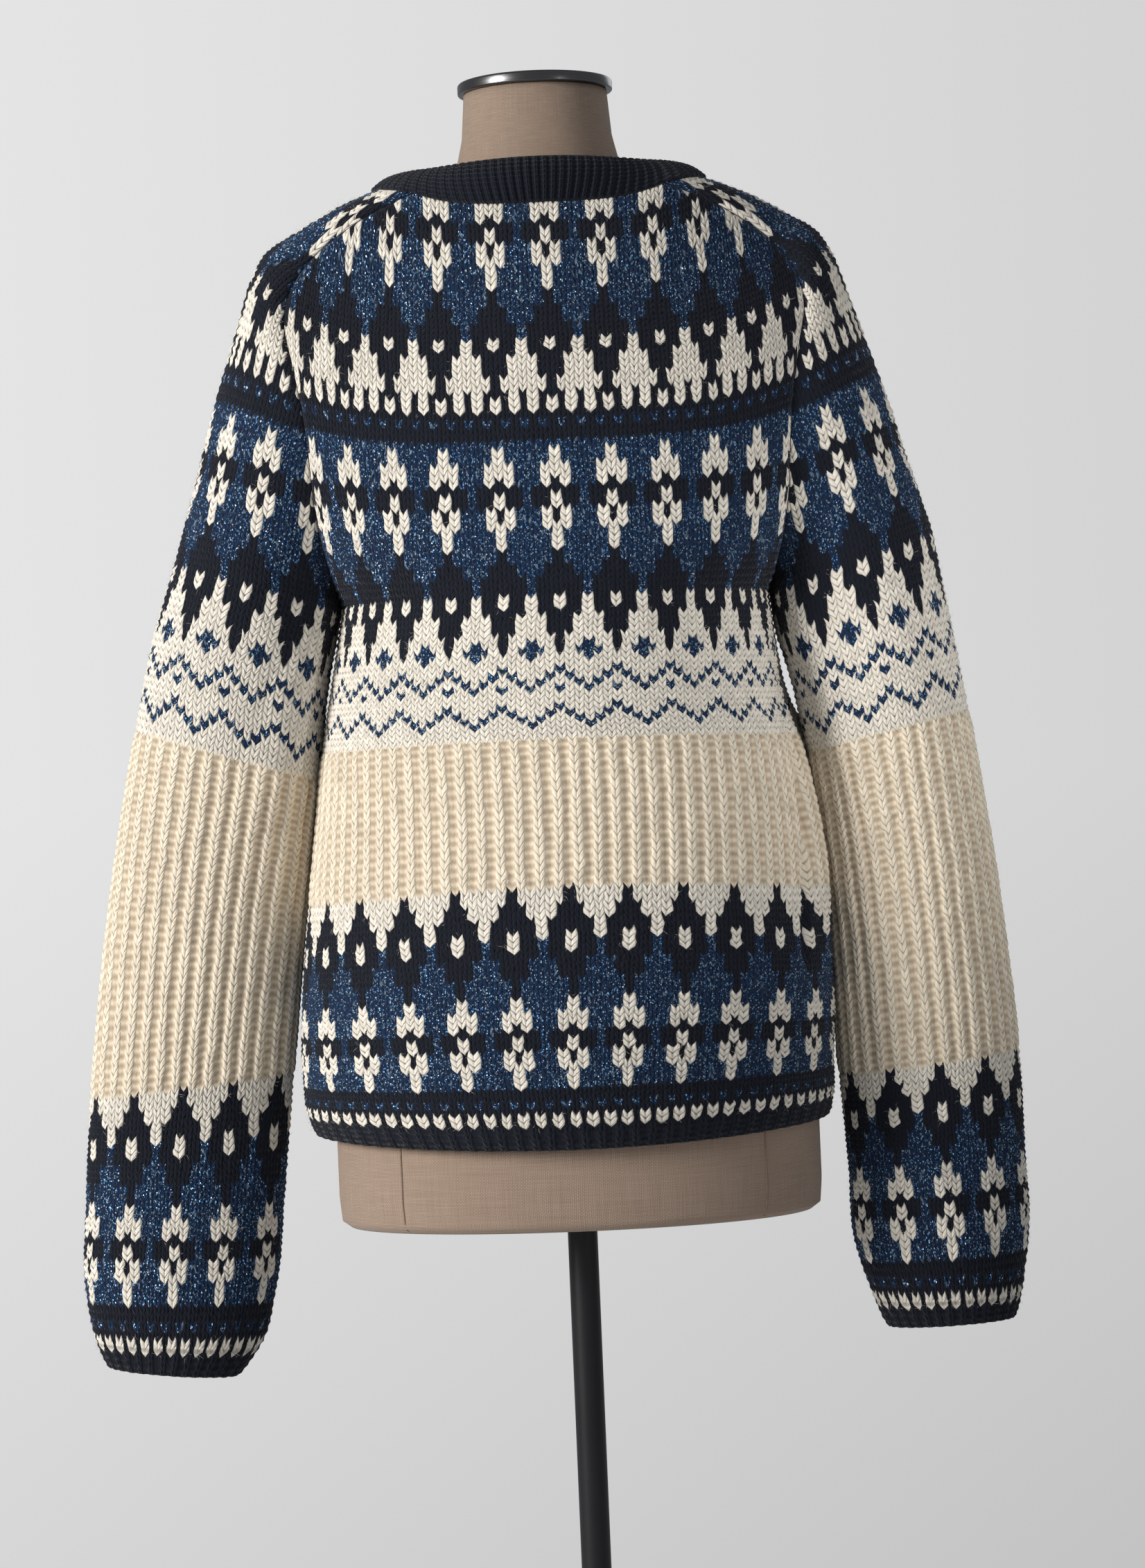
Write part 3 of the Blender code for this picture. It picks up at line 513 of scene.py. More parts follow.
def woolHairs(name, outer, facing, across, place, codes):
    # loose fibres that stand off the yarn: narrow bent ribbons, each in its stitch's colour
    count = fuzz["hairs"]
    line = dice.integers(3, outer.shape[0] - 3, count * 2)
    column = dice.integers(1, outer.shape[1] - 1, count * 2)
    inside = (across[line, column] > 0.01) & (across[line, column] < 0.99)
    line, column = line[inside][:count], column[inside][:count]
    count = len(line)
    up = facing[line, column]
    root = outer[line, column] - up * fuzz["depth"] + dice.normal(0, fuzz["scatter"], (count, 3))
    root -= up * np.sum((root - outer[line, column]) * up, axis=1)[:, None]
    lean = unit(np.cross(up, dice.normal(0, 1, (count, 3))))
    turn = unit(lean + unit(np.cross(up, lean)) * dice.normal(0, 0.7, (count, 1)))
    length = dice.uniform(*fuzz["length"], (count, 1)) * dice.choice([1.0, 1.0, 1.0, 1.6], (count, 1))
    lift = dice.uniform(*fuzz["lift"], (count, 1))
    middle = root + (up * lift + lean) * length * 0.5
    tip = middle + (up * lift * dice.uniform(-0.6, 0.8, (count, 1)) + turn) * length * 0.5
    side = unit(np.cross(up, lean)) * fuzz["width"] / 2
    points = np.stack([root, middle + side, middle - side, tip], axis=1).reshape(-1, 3)
    start = np.arange(count)[:, None] * 4
    faces = np.concatenate([start + [0, 1, 2], start + [2, 1, 3]], axis=1).reshape(-1, 3).tolist()
    stitch = np.minimum(column // 4, codes.shape[1] - 1)
    row = np.clip(place[line, column].astype(int), 0, len(codes) - 1)
    tone = np.column_stack([dice.random(count), np.zeros(count), np.zeros(count), np.ones(count)])
    corners = 6
    return meshPiece(name, points, faces, np.tile([0.25, 0.5], (count * corners, 1)),
                     np.repeat(codes[row, stitch], corners, axis=0),
                     np.repeat(tone, corners, axis=0), whole=False)


def meshPiece(name, vertices, faces, uvs=None, yarn=None, tone=None, whole=True):
    mesh = bpy.data.meshes.new(name)
    mesh.from_pydata(np.asarray(vertices, float).tolist(), [], faces)
    if uvs is not None:
        layer = mesh.uv_layers.new(name="stitches")
        layer.data.foreach_set("uv", np.array(uvs, np.float32).ravel())
    for label, values in (("yarn", yarn), ("tone", tone)):
        if values is not None:
            layer = mesh.color_attributes.new(name=label, type="FLOAT_COLOR", domain="CORNER")
            layer.data.foreach_set("color", np.array(values, np.float32).ravel())
    mesh.validate()
    mesh.update()
    piece = bpy.data.objects.new(name, mesh)
    bpy.context.scene.collection.objects.link(piece)
    if whole:
        tidyMesh(mesh)
        mesh.shade_smooth()
    return piece


def tidyMesh(mesh):
    shaped = bmesh.new()
    shaped.from_mesh(mesh)
    bmesh.ops.remove_doubles(shaped, verts=shaped.verts, dist=2e-6)
    bmesh.ops.dissolve_degenerate(shaped, edges=shaped.edges, dist=1e-6)
    loose = [v for v in shaped.verts if not v.link_faces]
    bmesh.ops.delete(shaped, geom=loose, context="VERTS")
    bmesh.ops.recalc_face_normals(shaped, faces=shaped.faces)
    shaped.to_mesh(mesh)
    shaped.free()


# ---- neckband: a rib folded over, which stands away from the neck
neckRib = {
    "ribs": 96,
    "rows": 9,               # courses of knitting from the foot to the fold
    "wall": 0.0065,
    "bulge": 0.0035,
    "footGap": -0.0014,      # the band's foot laps over the panels' top edges
    "rise": 0.0020,
    # from the fold down the inside: share of the height, share of the wall
    "inside": ((1.0, 0.35), (1.0, 0.75), (0.97, 0.98), (0.8, 1.0), (0.55, 0.95), (0.3, 0.85)),
    "halfWidth": 0.092, "back": 0.071, "front": 0.073,
    "backZ": 1.458, "sideZ": 1.455, "frontZ": 1.426,
}


def necklineLoop():
    # the top edges of the panels and sleeves as one closed loop, with the way up
    outer, inner, upward = [], [], []
    fractions = np.linspace(0, 1, 41)[None]
    start = np.zeros(1)
    for kind, side, backwards in (("panel", -1, False), ("sleeve", 1, False),
                                  ("panel", 1, True), ("sleeve", -1, True)):
        points, normals = skinGrid(kind, side, start, fractions)
        below = skinPoints(kind, side, start + 0.8, fractions)
        order = slice(None, None, -1) if backwards else slice(None)
        for loop, part in ((outer, points[0]), (inner, points[0] - normals[0] * knit["wall"]),
                           (upward, unit(points[0] - below[0]))):
            loop.append(part[order])
    for loop in (outer, inner, upward):
        for k in range(4):
            loop[k - 1][-1] = loop[k][0] = (loop[k - 1][-1] + loop[k][0]) / 2
    return [np.concatenate([part[:-1] for part in loop]) for loop in (outer, inner, upward)]


def neckbandPiece():
    outerEdge, innerEdge, upward = necklineLoop()
    feet = [edge + upward * neckRib["footGap"] for edge in (outerEdge, innerEdge)]
    angles = np.unwrap(np.arctan2(feet[0][:, 1], feet[0][:, 0]))
    turn = np.append((angles - angles[0]) / (2 * math.pi), 1.0)
    count = 8 * neckRib["ribs"]
    fractions = np.arange(count) / count
    angle = angles[0] + fractions * 2 * math.pi
    foot, innerFoot = [np.column_stack([np.interp(fractions, turn, np.append(loop[:, k], loop[0, k]))
                                        for k in range(3)]) for loop in feet]
    behind = np.sin(angle) < 0
    rim = np.column_stack([
        neckRib["halfWidth"] * np.cos(angle),
        np.where(behind, neckRib["back"], neckRib["front"]) * np.sin(angle),
        neckRib["sideZ"] + (np.where(behind, neckRib["backZ"], neckRib["frontZ"]) - neckRib["sideZ"])
        * np.sin(angle) ** 2])
    away = np.column_stack([np.cos(angle), np.sin(angle), np.zeros(count)])
    slope = rim - foot
    face = unit(np.cross(slope, np.cross(away, slope)))
    face *= np.sign(np.sum(face * away, axis=1))[:, None]
    eighth = np.arange(count) % 8
    ridgeLow = np.array([0.2, 0.7, 0.45, 0.7, 0.2, -0.05, -0.1, -0.05])[eighth]
    ridgeMid = np.array([0.25, 1.0, 0.60, 1.0, 0.25, 0.05, 0.15, 0.05])[eighth]
    fromMiddle = np.abs((np.arange(count) % 4) / 2.0 - 1.0)
    rings, courses = [foot], 2 * neckRib["rows"]
    uvRows = [0.0]
    for step in range(1, courses + 1):
        course = step / 2.0 + knit["vDepth"] * (fromMiddle - 0.5) * min(1, (courses - step) / 2, step / 2)
        height = (course / neckRib["rows"])[:, None] * 0.97
        ribs = (ridgeMid if step % 2 else ridgeLow) * neckRib["rise"] - 0.0004
        crown = -0.0016 * max(0.0, step / courses - 0.8) / 0.2
        bulge = neckRib["bulge"] * np.sin(math.pi * np.clip(height[:, 0], 0, 1)) + 0.001 + ribs + crown
        rings.append(foot + slope * height + face * bulge[:, None])
        uvRows.append(step / 2.0)
    for height, depth in neckRib["inside"]:
        ribs = (ridgeLow - 0.3) * neckRib["rise"] * (0.7 if height > 0.5 else 0.4)
        bulge = neckRib["bulge"] * math.sin(math.pi * height) - neckRib["wall"] * depth - ribs * (depth - 0.5)
        rings.append(foot + slope * height + face * np.reshape(bulge, (-1, 1)))
        uvRows.append(uvRows[-1] + 1)
    rings.append(innerFoot)
    uvRows.append(uvRows[-1] + 1)
    vertices, faces, uvs, yarn, tone = np.concatenate(rings), [], [], [], []
    tint = dice.random((len(rings), count // 4))
    total = len(rings)
    for ring in range(total):
        for c in range(count):
            n, m = (ring + 1) % total, (c + 1) % count
            faces.append((ring * count + c, ring * count + m, n * count + m, n * count + c))
            uvs.extend([(c / 4, uvRows[ring]), (c / 4 + 0.25, uvRows[ring]),
                        (c / 4 + 0.25, uvRows[ring] + 0.5), (c / 4, uvRows[ring] + 0.5)])
            yarn.extend([yarnMarks["N"]] * 4)
            tone.extend([(tint[ring, c // 4], float((c // 4) % 2), 0, 1)] * 4)
    return meshPiece("neckband_rib", vertices, faces, uvs, yarn, tone)


# ---- dress form, its cap, pole and base
form = {
    "bottom": 0.720, "neckTop": 1.5115, "steps": 144, "hole": 0.0109, "capHole": 0.03,
    "seamsX": (-0.122, 0.128), "seamBottom": 0.7225, "seamTop": 1.30, "seamRadius": 0.0008,
}
formRows = table("row halfWidth back front power",
                 (0.720, 0.163, 0.109, 0.109, 2.1), (0.724, 0.1685, 0.114, 0.114, 2.1),
                 (0.740, 0.1700, 0.116, 0.116, 2.1), (0.785, 0.1700, 0.117, 0.117, 2.1),
                 (0.850, 0.160, 0.112, 0.112, 2.2), (0.935, 0.127, 0.094, 0.098, 2.2),
                 (1.020, 0.129, 0.098, 0.106, 2.2), (1.090, 0.136, 0.106, 0.124, 2.2),
                 (1.150, 0.138, 0.113, 0.122, 2.2), (1.215, 0.143, 0.112, 0.110, 2.2),
                 (1.280, 0.161, 0.105, 0.096, 2.2), (1.330, 0.178, 0.096, 0.086, 2.1),
                 (1.368, 0.187, 0.084, 0.076, 1.9), (1.392, 0.186, 0.075, 0.068, 1.7),
                 (1.4130, 0.1755, 0.070, 0.064, 1.45), (1.4240, 0.1525, 0.066, 0.061, 1.3),
                 (1.4317, 0.108, 0.062, 0.059, 1.4), (1.440, 0.076, 0.059, 0.057, 1.8),
                 (1.455, 0.059, 0.056, 0.054, 2.0), (1.480, 0.0530, 0.052, 0.052, 2.0),
                 (1.5115, 0.0505, 0.0505, 0.0505, 2.0))


def formSize(name, height):
    return np.interp(height, formRows["row"], formRows[name])


def formPiece():
    heights = np.concatenate([[0.720, 0.7212, 0.7225, 0.724, 0.727, 0.731, 0.736],
                              np.linspace(0.742, 1.36, 60), np.linspace(1.365, 1.45, 40),
                              np.linspace(1.455, 1.5115, 12)])
    count, faces, uvs = form["steps"], [], []
    angle = np.arange(count) * 2 * math.pi / count
    cosine, sine = np.cos(angle), np.sin(angle)

    def ring(x, y, height):
        return np.column_stack([x, y, np.full(count, height)])

    underside = ((form["hole"], form["hole"], 0), (0.6 * 0.163, 0.6 * 0.109, 0.0004),
                 (0.93 * 0.163, 0.93 * 0.109, 0.0002))
    rings = [ring(width * cosine, depth * sine, form["bottom"] + lift) for width, depth, lift in underside]
    for z in heights:
        power = 2.0 / formSize("power", z)
        depth = np.where(sine < 0, formSize("back", z), formSize("front", z))
        rings.append(ring(formSize("halfWidth", z) * np.sign(cosine) * np.abs(cosine) ** power,
                          depth * np.sign(sine) * np.abs(sine) ** power, z))
    rings.append(ring(form["capHole"] * cosine, form["capHole"] * sine, form["neckTop"]))
    around = 0.9 / count                 # metres of cloth from one step to the next
    for k in range(len(rings) - 1):
        low, high = rings[k][0, 2], rings[k + 1][0, 2]
        if k < len(underside):
            low, high = low - 0.03 * (3 - k), high - 0.03 * (2 - k)
        for c in range(count):
            n, left, right = (c + 1) % count, c * around, (c + 1) * around
            faces.append((k * count + c, k * count + n, (k + 1) * count + n, (k + 1) * count + c))
            uvs.extend([(left, low), (right, low), (right, high), (left, high)])
    faces.append(tuple(range(count))[::-1])
    faces.append(tuple(range((len(rings) - 1) * count, len(rings) * count)))
    uvs.extend([(0, 0)] * 2 * count)
    return meshPiece("linen_form", np.concatenate(rings), faces, uvs)


def formSeams():
    # narrow piped lines where the linen panels of the form meet
    vertices, faces = [], []
    for x in form["seamsX"]:
        for side, depthName in ((-1, "back"), (1, "front")):
            line = []
            for z in np.linspace(form["seamBottom"], form["seamTop"], 90):
                width, power = formSize("halfWidth", z), formSize("power", z)
                place = x * width / 0.17
                reach = (1 - abs(place / width) ** power) ** (1 / power)
                line.append((place, side * formSize(depthName, z) * reach, z))
            points, quads = tubeAlong(np.array(line), form["seamRadius"], 6)
            faces += [tuple(k + len(vertices) for k in quad) for quad in quads]
            vertices += list(points)
    return meshPiece("form_seams", vertices, faces)


def tubeAlong(line, radius, sides):
    along = unit(np.gradient(line, axis=0))
    side = unit(np.cross(along, [0.0, 0.0, 1.0] if abs(along[0][2]) < 0.9 else [1.0, 0.0, 0.0]))
    other = np.cross(along, side)
    rings = [line + radius * (math.cos(a) * side + math.sin(a) * other)
             for a in np.arange(sides) * 2 * math.pi / sides]
    points = np.stack(rings, axis=1).reshape(-1, 3)
    quads = [(k + s, k + (s + 1) % sides, k + sides + (s + 1) % sides, k + sides + s)
             for k in range(0, sides * (len(line) - 1), sides) for s in range(sides)]
    quads += [tuple(range(sides))[::-1], tuple(range((len(line) - 1) * sides, len(line) * sides))]
    return points, quads


stand = {
    "poleRadius": 0.0105, "poleTop": 0.790, "socketFloor": 0.020,
    "baseRadius": 0.19, "baseEdge": 0.007, "baseCrown": 0.014,
    "bossRadius": 0.021, "bossTop": 0.062, "gap": 0.0004,
    "capRadius": 0.0546, "capHeight": 0.0075, "steps": 128,
}


def turnedPiece(name, profile):
    # a profile of (radius, height) points, from the axis round to the axis, spun
    steps, vertices, faces, loops = stand["steps"], [], [], []
    angles = [2 * math.pi * k / steps for k in range(steps)]
    for radius, height in profile:
        if radius == 0:
            loops.append([len(vertices)] * steps)
            vertices.append((0.0, 0.0, height))
            continue
        loops.append(list(range(len(vertices), len(vertices) + steps)))
        vertices += [(radius * math.cos(a), radius * math.sin(a), height) for a in angles]
    for low, high in zip(loops, loops[1:]):
        for k in range(steps):
            corners = (low[k], low[(k + 1) % steps], high[(k + 1) % steps], high[k])
            faces.append(tuple(dict.fromkeys(corners)))
    piece = meshPiece(name, vertices, faces)
    piece.data.set_sharp_from_angle(angle=math.radians(40))
    return piece


def rounded(radius, height, size, outward, upward):
    # four points of a rounded corner, from the side round to the flat
    places = [math.radians(a) for a in (0, 30, 60, 90)]
    return [(radius - outward * size * (1 - math.cos(a)), height - upward * size * (1 - math.sin(a)))
            for a in places]


def standPieces():
    s = stand
    base = [(0, 0)] + rounded(s["baseRadius"], 0, 0.0015, 1, -1)[::-1]
    base += rounded(s["baseRadius"], s["baseEdge"], 0.0025, 1, 1)
    base += [(0.16, s["baseEdge"] + 0.0022), (0.12, s["baseCrown"] - 0.003), (0.08, s["baseCrown"] - 0.001),
             (0.05, s["baseCrown"]), (s["bossRadius"] + 0.008, s["baseCrown"] + 0.0015),
             (s["bossRadius"] + 0.003, s["baseCrown"] + 0.005), (s["bossRadius"], s["baseCrown"] + 0.012)]
    base += rounded(s["bossRadius"] - 0.002, s["bossTop"], 0.002, 1, 1)
    socket = s["poleRadius"] + s["gap"]
    base += [(socket, s["bossTop"]), (socket, s["socketFloor"]), (0, s["socketFloor"])]
    floor = s["socketFloor"] + s["gap"]
    pole = [(0, floor), (s["poleRadius"], floor), (s["poleRadius"], 0.4), (s["poleRadius"], s["poleTop"]),
            (0, s["poleTop"])]
    low = form["neckTop"] + s["gap"]
    top = low + s["capHeight"]
    cap = [(0, low)] + rounded(s["capRadius"], low, 0.001, 1, -1)[::-1]
    cap += rounded(s["capRadius"], top, 0.0018, 1, 1)
    cap += [(s["capRadius"] - 0.0045, top), (s["capRadius"] - 0.006, top - 0.0018), (0.02, top - 0.0016),
            (0.004, top - 0.0016), (0, top - 0.0016)]
    return turnedPiece("round_base", base), turnedPiece("black_pole", pole), turnedPiece("cap_disc", cap)


# ---- materials
class Signal:
    # what a node puts out: the usual signs between signals and numbers add maths nodes
    def __init__(self, tree, socket):
        self.tree, self.socket = tree, socket

    def calc(self, operation, *others):
        return maths(self.tree, operation, self, *others)

    def __add__(self, other):
        return self.calc("ADD", other)

    def __sub__(self, other):
        return self.calc("SUBTRACT", other)

    def __rsub__(self, other):
        return maths(self.tree, "SUBTRACT", other, self)

    def __mul__(self, other):
        return self.calc("MULTIPLY", other)

    def __truediv__(self, other):
        return self.calc("DIVIDE", other)

    def __pow__(self, other):
        return self.calc("POWER", other)

    def __abs__(self):
        return self.calc("ABSOLUTE")

    __radd__, __rmul__ = __add__, __mul__


def feed(tree, values, sockets):
    # signals, numbers and colours go into a node's inputs, by name or by number
    for label, value in values.items():
        socket = sockets[label]
        if isinstance(value, Signal):
            tree.links.new(value.socket, socket)
        else:
            socket.default_value = (*value, 1.0) if socket.type == "RGBA" else value


def newNode(tree, kind, values):
    node = tree.nodes.new("ShaderNode" + kind)
    feed(tree, values, node.inputs)
    return node


def maths(tree, operation, *values):
    node = tree.nodes.new("ShaderNodeMath")
    node.operation = operation
    feed(tree, dict(enumerate(values)), node.inputs)
    return Signal(tree, node.outputs[0])


def vectorMaths(tree, operation, *values):
    node = tree.nodes.new("ShaderNodeVectorMath")
    node.operation = operation
    for k, value in enumerate(values):
        feed(tree, {"Scale" if isinstance(value, float) else k: value}, node.inputs)
    return Signal(tree, node.outputs[0])


def mix(tree, factor, first, second, blend="MIX", kind="RGBA"):
    node = tree.nodes.new("ShaderNodeMix")
    node.data_type, node.blend_type = kind, blend
    ends = [socket for socket in node.inputs if socket.type == kind][-2:]
    feed(tree, dict(enumerate((factor, first, second))), [node.inputs[0], *ends])
    return Signal(tree, next(socket for socket in node.outputs if socket.type == kind))


def shaded(tree, colour, shade):
    grey = newNode(tree, "CombineColor", {0: shade, 1: shade, 2: shade})
    return mix(tree, 1.0, colour, Signal(tree, grey.outputs[0]), "MULTIPLY")


def noise(tree, place, scale, detail=3.0, rough=0.55):
    inputs = {"Vector": place, "Scale": scale, "Detail": detail, "Roughness": rough}
    return Signal(tree, newNode(tree, "TexNoise", inputs).outputs[0])


def bumped(tree, height, strength, distance):
    bump = newNode(tree, "Bump", {"Height": height, "Strength": strength, "Distance": distance})
    return Signal(tree, bump.outputs[0])


def parts(tree, kind, signal):
    # the three numbers of a colour or of a place
    return [Signal(tree, socket) for socket in newNode(tree, "Separate" + kind, {0: signal}).outputs]


def objectPlace(tree):
    return Signal(tree, tree.nodes.new("ShaderNodeTexCoord").outputs["Object"])


def stitchPlace(tree):
    node = tree.nodes.new("ShaderNodeUVMap")
    node.uv_map = "stitches"
    return Signal(tree, node.outputs[0])


def attributeParts(tree, name):
    node = tree.nodes.new("ShaderNodeVertexColor")
    node.layer_name = name
    return parts(tree, "Color", Signal(tree, node.outputs["Color"]))


def newGroup(name, inputs, outputs):
    # inputs are vectors, or numbers with a first value. Outputs are numbers, but for Normal
    group = bpy.data.node_groups.new(name, "ShaderNodeTree")
    for label, start in inputs.items():
        kind = "NodeSocketVector" if start is None else "NodeSocketFloat"
        socket = group.interface.new_socket(label, in_out="INPUT", socket_type=kind)
        if start is not None:
            socket.default_value = start
    for label in outputs:
        kind = "NodeSocketVector" if label == "Normal" else "NodeSocketFloat"
        group.interface.new_socket(label, in_out="OUTPUT", socket_type=kind)
    given = group.nodes.new("NodeGroupInput").outputs
    return group, {label: Signal(group, given[label]) for label in inputs}


def putOut(group, **results):
    feed(group, results, group.nodes.new("NodeGroupOutput").inputs)
    return group


def placed(tree, group, **values):
    node = tree.nodes.new("ShaderNodeGroup")
    node.node_tree = group
    feed(tree, values, node.inputs)
    return {socket.name: Signal(tree, socket) for socket in node.outputs}


def newMaterial(name):
    material = bpy.data.materials.new(name)
    material.use_nodes = True
    return material, material.node_tree


def surface(material, **looks):
    # the shader's inputs, under their names without spaces
    shader = material.node_tree.nodes["Principled BSDF"]
    names = {socket.name.replace(" ", ""): socket.name for socket in shader.inputs}
    feed(material.node_tree, {names[label]: value for label, value in looks.items()}, shader.inputs)
    return material


yarns = {
    "white": (0.78, 0.735, 0.655), "ivory": (0.79, 0.705, 0.57), "navy": (0.0056, 0.0078, 0.0160),
    # foil is the lurex's own colour; the pale foil colour is a painted glint
    "blue": (0.0055, 0.0210, 0.060), "foil": (0.09, 0.30, 0.60), "pale foil": (0.74, 0.86, 0.95),
    # furrow: the tan that the ribs' furrows are painted towards as shade
    "grey": (0.10, 0.15, 0.21), "furrow": (0.62, 0.49, 0.35),
    "fibreScale": 900.0, "fibreStretch": (1.0, 1.0, 0.35), "lumpScale": 140.0,
    "flecksPerStitch": (5.6, 2.7, 1.0), "fleckShare": 0.80, "fleckSize": 0.34, "fleckTilt": 1.6,
    "roughness": 0.88, "sheen": 0.10, "specular": 0.18,
    "noise": 0.55,           # share of the fibres' height in the bump
    "gap": 0.80,             # how dark the painted shade in the gaps between the legs of a stitch is
    "bump": (0.8, 0.0011),   # strength, and metres
}


def woolFibreGroup():
    # fine hairs and lumps of a wool yarn: a tone near 1 and a height
    group, given = newGroup("woolFibre", {"Vector": None, "Scale": yarns["fibreScale"]}, ("Tone", "Height"))
    stretched = vectorMaths(group, "MULTIPLY", given["Vector"], yarns["fibreStretch"])
    fibre = noise(group, stretched, given["Scale"], 4.0, 0.65)
    lumps = noise(group, given["Vector"], yarns["lumpScale"], 2.0)
    return putOut(group, Tone=fibre * 0.34 + lumps * 0.16 + 0.75, Height=fibre)


def yarnLegGroup():
    # height and shadow of one stitch from its stitch and row numbers: two plump legs,
    # or the crosswise bar of a purl stitch
    group, given = newGroup("yarnLeg", {"Stitch": None, "Purl": 0.0}, ("Height", "Gap"))
    stitch, row = parts(group, "XYZ", given["Stitch"])[:2]
    fullTurn = 2 * math.pi
    fromMiddle = abs(stitch.calc("FRACT") * 2.0 - 1.0)
    along = (row + (fromMiddle - 0.5) * knit["vDepth"]).calc("FRACT")
    ends = abs(along * 2.0 - 1.0)
    sideways = abs(fromMiddle * 2.0 - 1.0)
    plump = (1.0 - sideways ** 3.0 * 0.65) * (1.0 - ends ** 5.0 * 0.8)
    ply = (along * 14.0 + fromMiddle * 6.0).calc("SINE")
    legHeight = plump * (1.0 + ply * 0.05)
    # painted shade: a dark dot in the opening at the top of each V, and thin dark lines where legs end and
    # where stitches meet
    dot = ((along - 0.05) * fullTurn).calc("COSINE").calc("MAXIMUM", 0.0) ** 2.0
    hole = (1.0 - fromMiddle) ** 3.0 * dot
    legShade = (hole + ends ** 7.0 * 0.50 + fromMiddle ** 9.0 * 0.45).calc("MINIMUM", 1.0)
    # a purl stitch's bar, with painted shade between the bars and down the middle of the stitch
    bar = (row * fullTurn).calc("COSINE") * 0.5 + 0.5
    purlShade = (1.0 - bar) ** 1.3 * 0.42 + (1.0 - fromMiddle) ** 2.0 * 0.25
    height, gap = [leg + (purl - leg) * given["Purl"] for leg, purl in ((legHeight, bar), (legShade, purlShade))]
    return putOut(group, Height=height, Gap=gap)


def glitterGroup():
    # short bright flecks of metallic foil that follow the stitches, their pale colour partly a painted glint:
    # a mask, a scattered normal and a tint
    group, given = newGroup("foilFlecks", {"Stitch": None, "Amount": 0.5}, ("Mask", "Normal", "Tint"))
    place = vectorMaths(group, "MULTIPLY", given["Stitch"], yarns["flecksPerStitch"])
    cells = newNode(group, "TexVoronoi", {"Scale": 1.0, "Vector": place})
    cell = Signal(group, cells.outputs["Color"])
    pick, tint = parts(group, "Color", cell)[:2]
    core = Signal(group, cells.outputs["Distance"]).calc("LESS_THAN", yarns["fleckSize"])
    flat = Signal(group, group.nodes.new("ShaderNodeNewGeometry").outputs["Normal"])
    tilt = vectorMaths(group, "SUBTRACT", cell, (0.5, 0.5, 0.5))
    tilt = vectorMaths(group, "SCALE", tilt, yarns["fleckTilt"])
    normal = vectorMaths(group, "NORMALIZE", vectorMaths(group, "ADD", flat, tilt))
    return putOut(group, Mask=pick.calc("LESS_THAN", given["Amount"]) * core, Normal=normal, Tint=tint)


def knitMaterial(fibre, leg, flecks):
    material, tree = newMaterial("stranded_knit")
    isNavy, isBlue, isRib = attributeParts(tree, "yarn")
    shift, furrow, fleck = attributeParts(tree, "tone")
    stitch = stitchPlace(tree)
    hairs = placed(tree, fibre, Vector=objectPlace(tree))
    legs = placed(tree, leg, Stitch=stitch, Purl=furrow)
    foil = placed(tree, flecks, Stitch=stitch, Amount=yarns["fleckShare"])
    colour = mix(tree, isRib, yarns["white"], yarns["ivory"])
    # painted shade: the ivory ribs' furrows darkened towards the tan furrow colour, most in the gaps between
    # stitches
    furrowShade = furrow * (legs["Gap"] * 0.75 + 0.18)
    colour = mix(tree, isRib * furrowShade, colour, mix(tree, 1.0, colour, yarns["furrow"], "MULTIPLY"))
    colour = mix(tree, isNavy, colour, yarns["navy"])
    colour = mix(tree, isBlue, colour, mix(tree, fleck, yarns["blue"], yarns["grey"]))
    # painted shade in the gaps between the stitches' legs, weaker on navy and on the ribs, over the fibres'
    # and stitches' random tone
    depth = (yarns["gap"] - isNavy * (yarns["gap"] * 0.5)) * (1.0 - isRib * 0.35)
    colour = shaded(tree, colour, hairs["Tone"] * (shift * 0.14 + 0.92) * (1.0 - legs["Gap"] * depth))
    # foil flecks on the blue legs' crests: metallic foil, with a painted glint in their pale colour
    glint = foil["Mask"] * legs["Height"].calc("GREATER_THAN", 0.62) * isBlue
    colour = mix(tree, glint, colour, mix(tree, foil["Tint"] ** 1.8, yarns["foil"], yarns["pale foil"]))
    height = legs["Height"] + hairs["Height"] * yarns["noise"]
    normal = mix(tree, glint, bumped(tree, height, *yarns["bump"]), foil["Normal"], kind="VECTOR")
    return surface(material, BaseColor=colour, Normal=normal, Metallic=glint * 0.65,
                   Roughness=yarns["roughness"] - glint * 0.42, SpecularIORLevel=yarns["specular"],
                   SheenWeight=yarns["sheen"], SheenRoughness=0.5)


def neckbandMaterial(fibre, leg):
    material, tree = newMaterial("navy_rib")
    hairs = placed(tree, fibre, Vector=objectPlace(tree))
    legs = placed(tree, leg, Stitch=stitchPlace(tree))
    height = legs["Height"] + hairs["Height"] * yarns["noise"]
    # painted shade in the gaps between the stitches' legs, over the fibres' random tone
    colour = shaded(tree, yarns["navy"], hairs["Tone"] * (1.1 - legs["Gap"] * 0.35))
    return surface(material, BaseColor=colour, Normal=bumped(tree, height, *yarns["bump"]),
                   Roughness=yarns["roughness"], SpecularIORLevel=yarns["specular"],
                   SheenWeight=yarns["sheen"])


linen = {
    "thread": 0.00100, "wobbleScale": 90.0, "wobble": 0.0022,
    "slubs": ((25.0, 900.0, 1.0), (900.0, 25.0, 1.0)),
    "pale": (0.41, 0.305, 0.235), "dark": (0.30, 0.215, 0.16), "seam": (0.14, 0.095, 0.07),
}


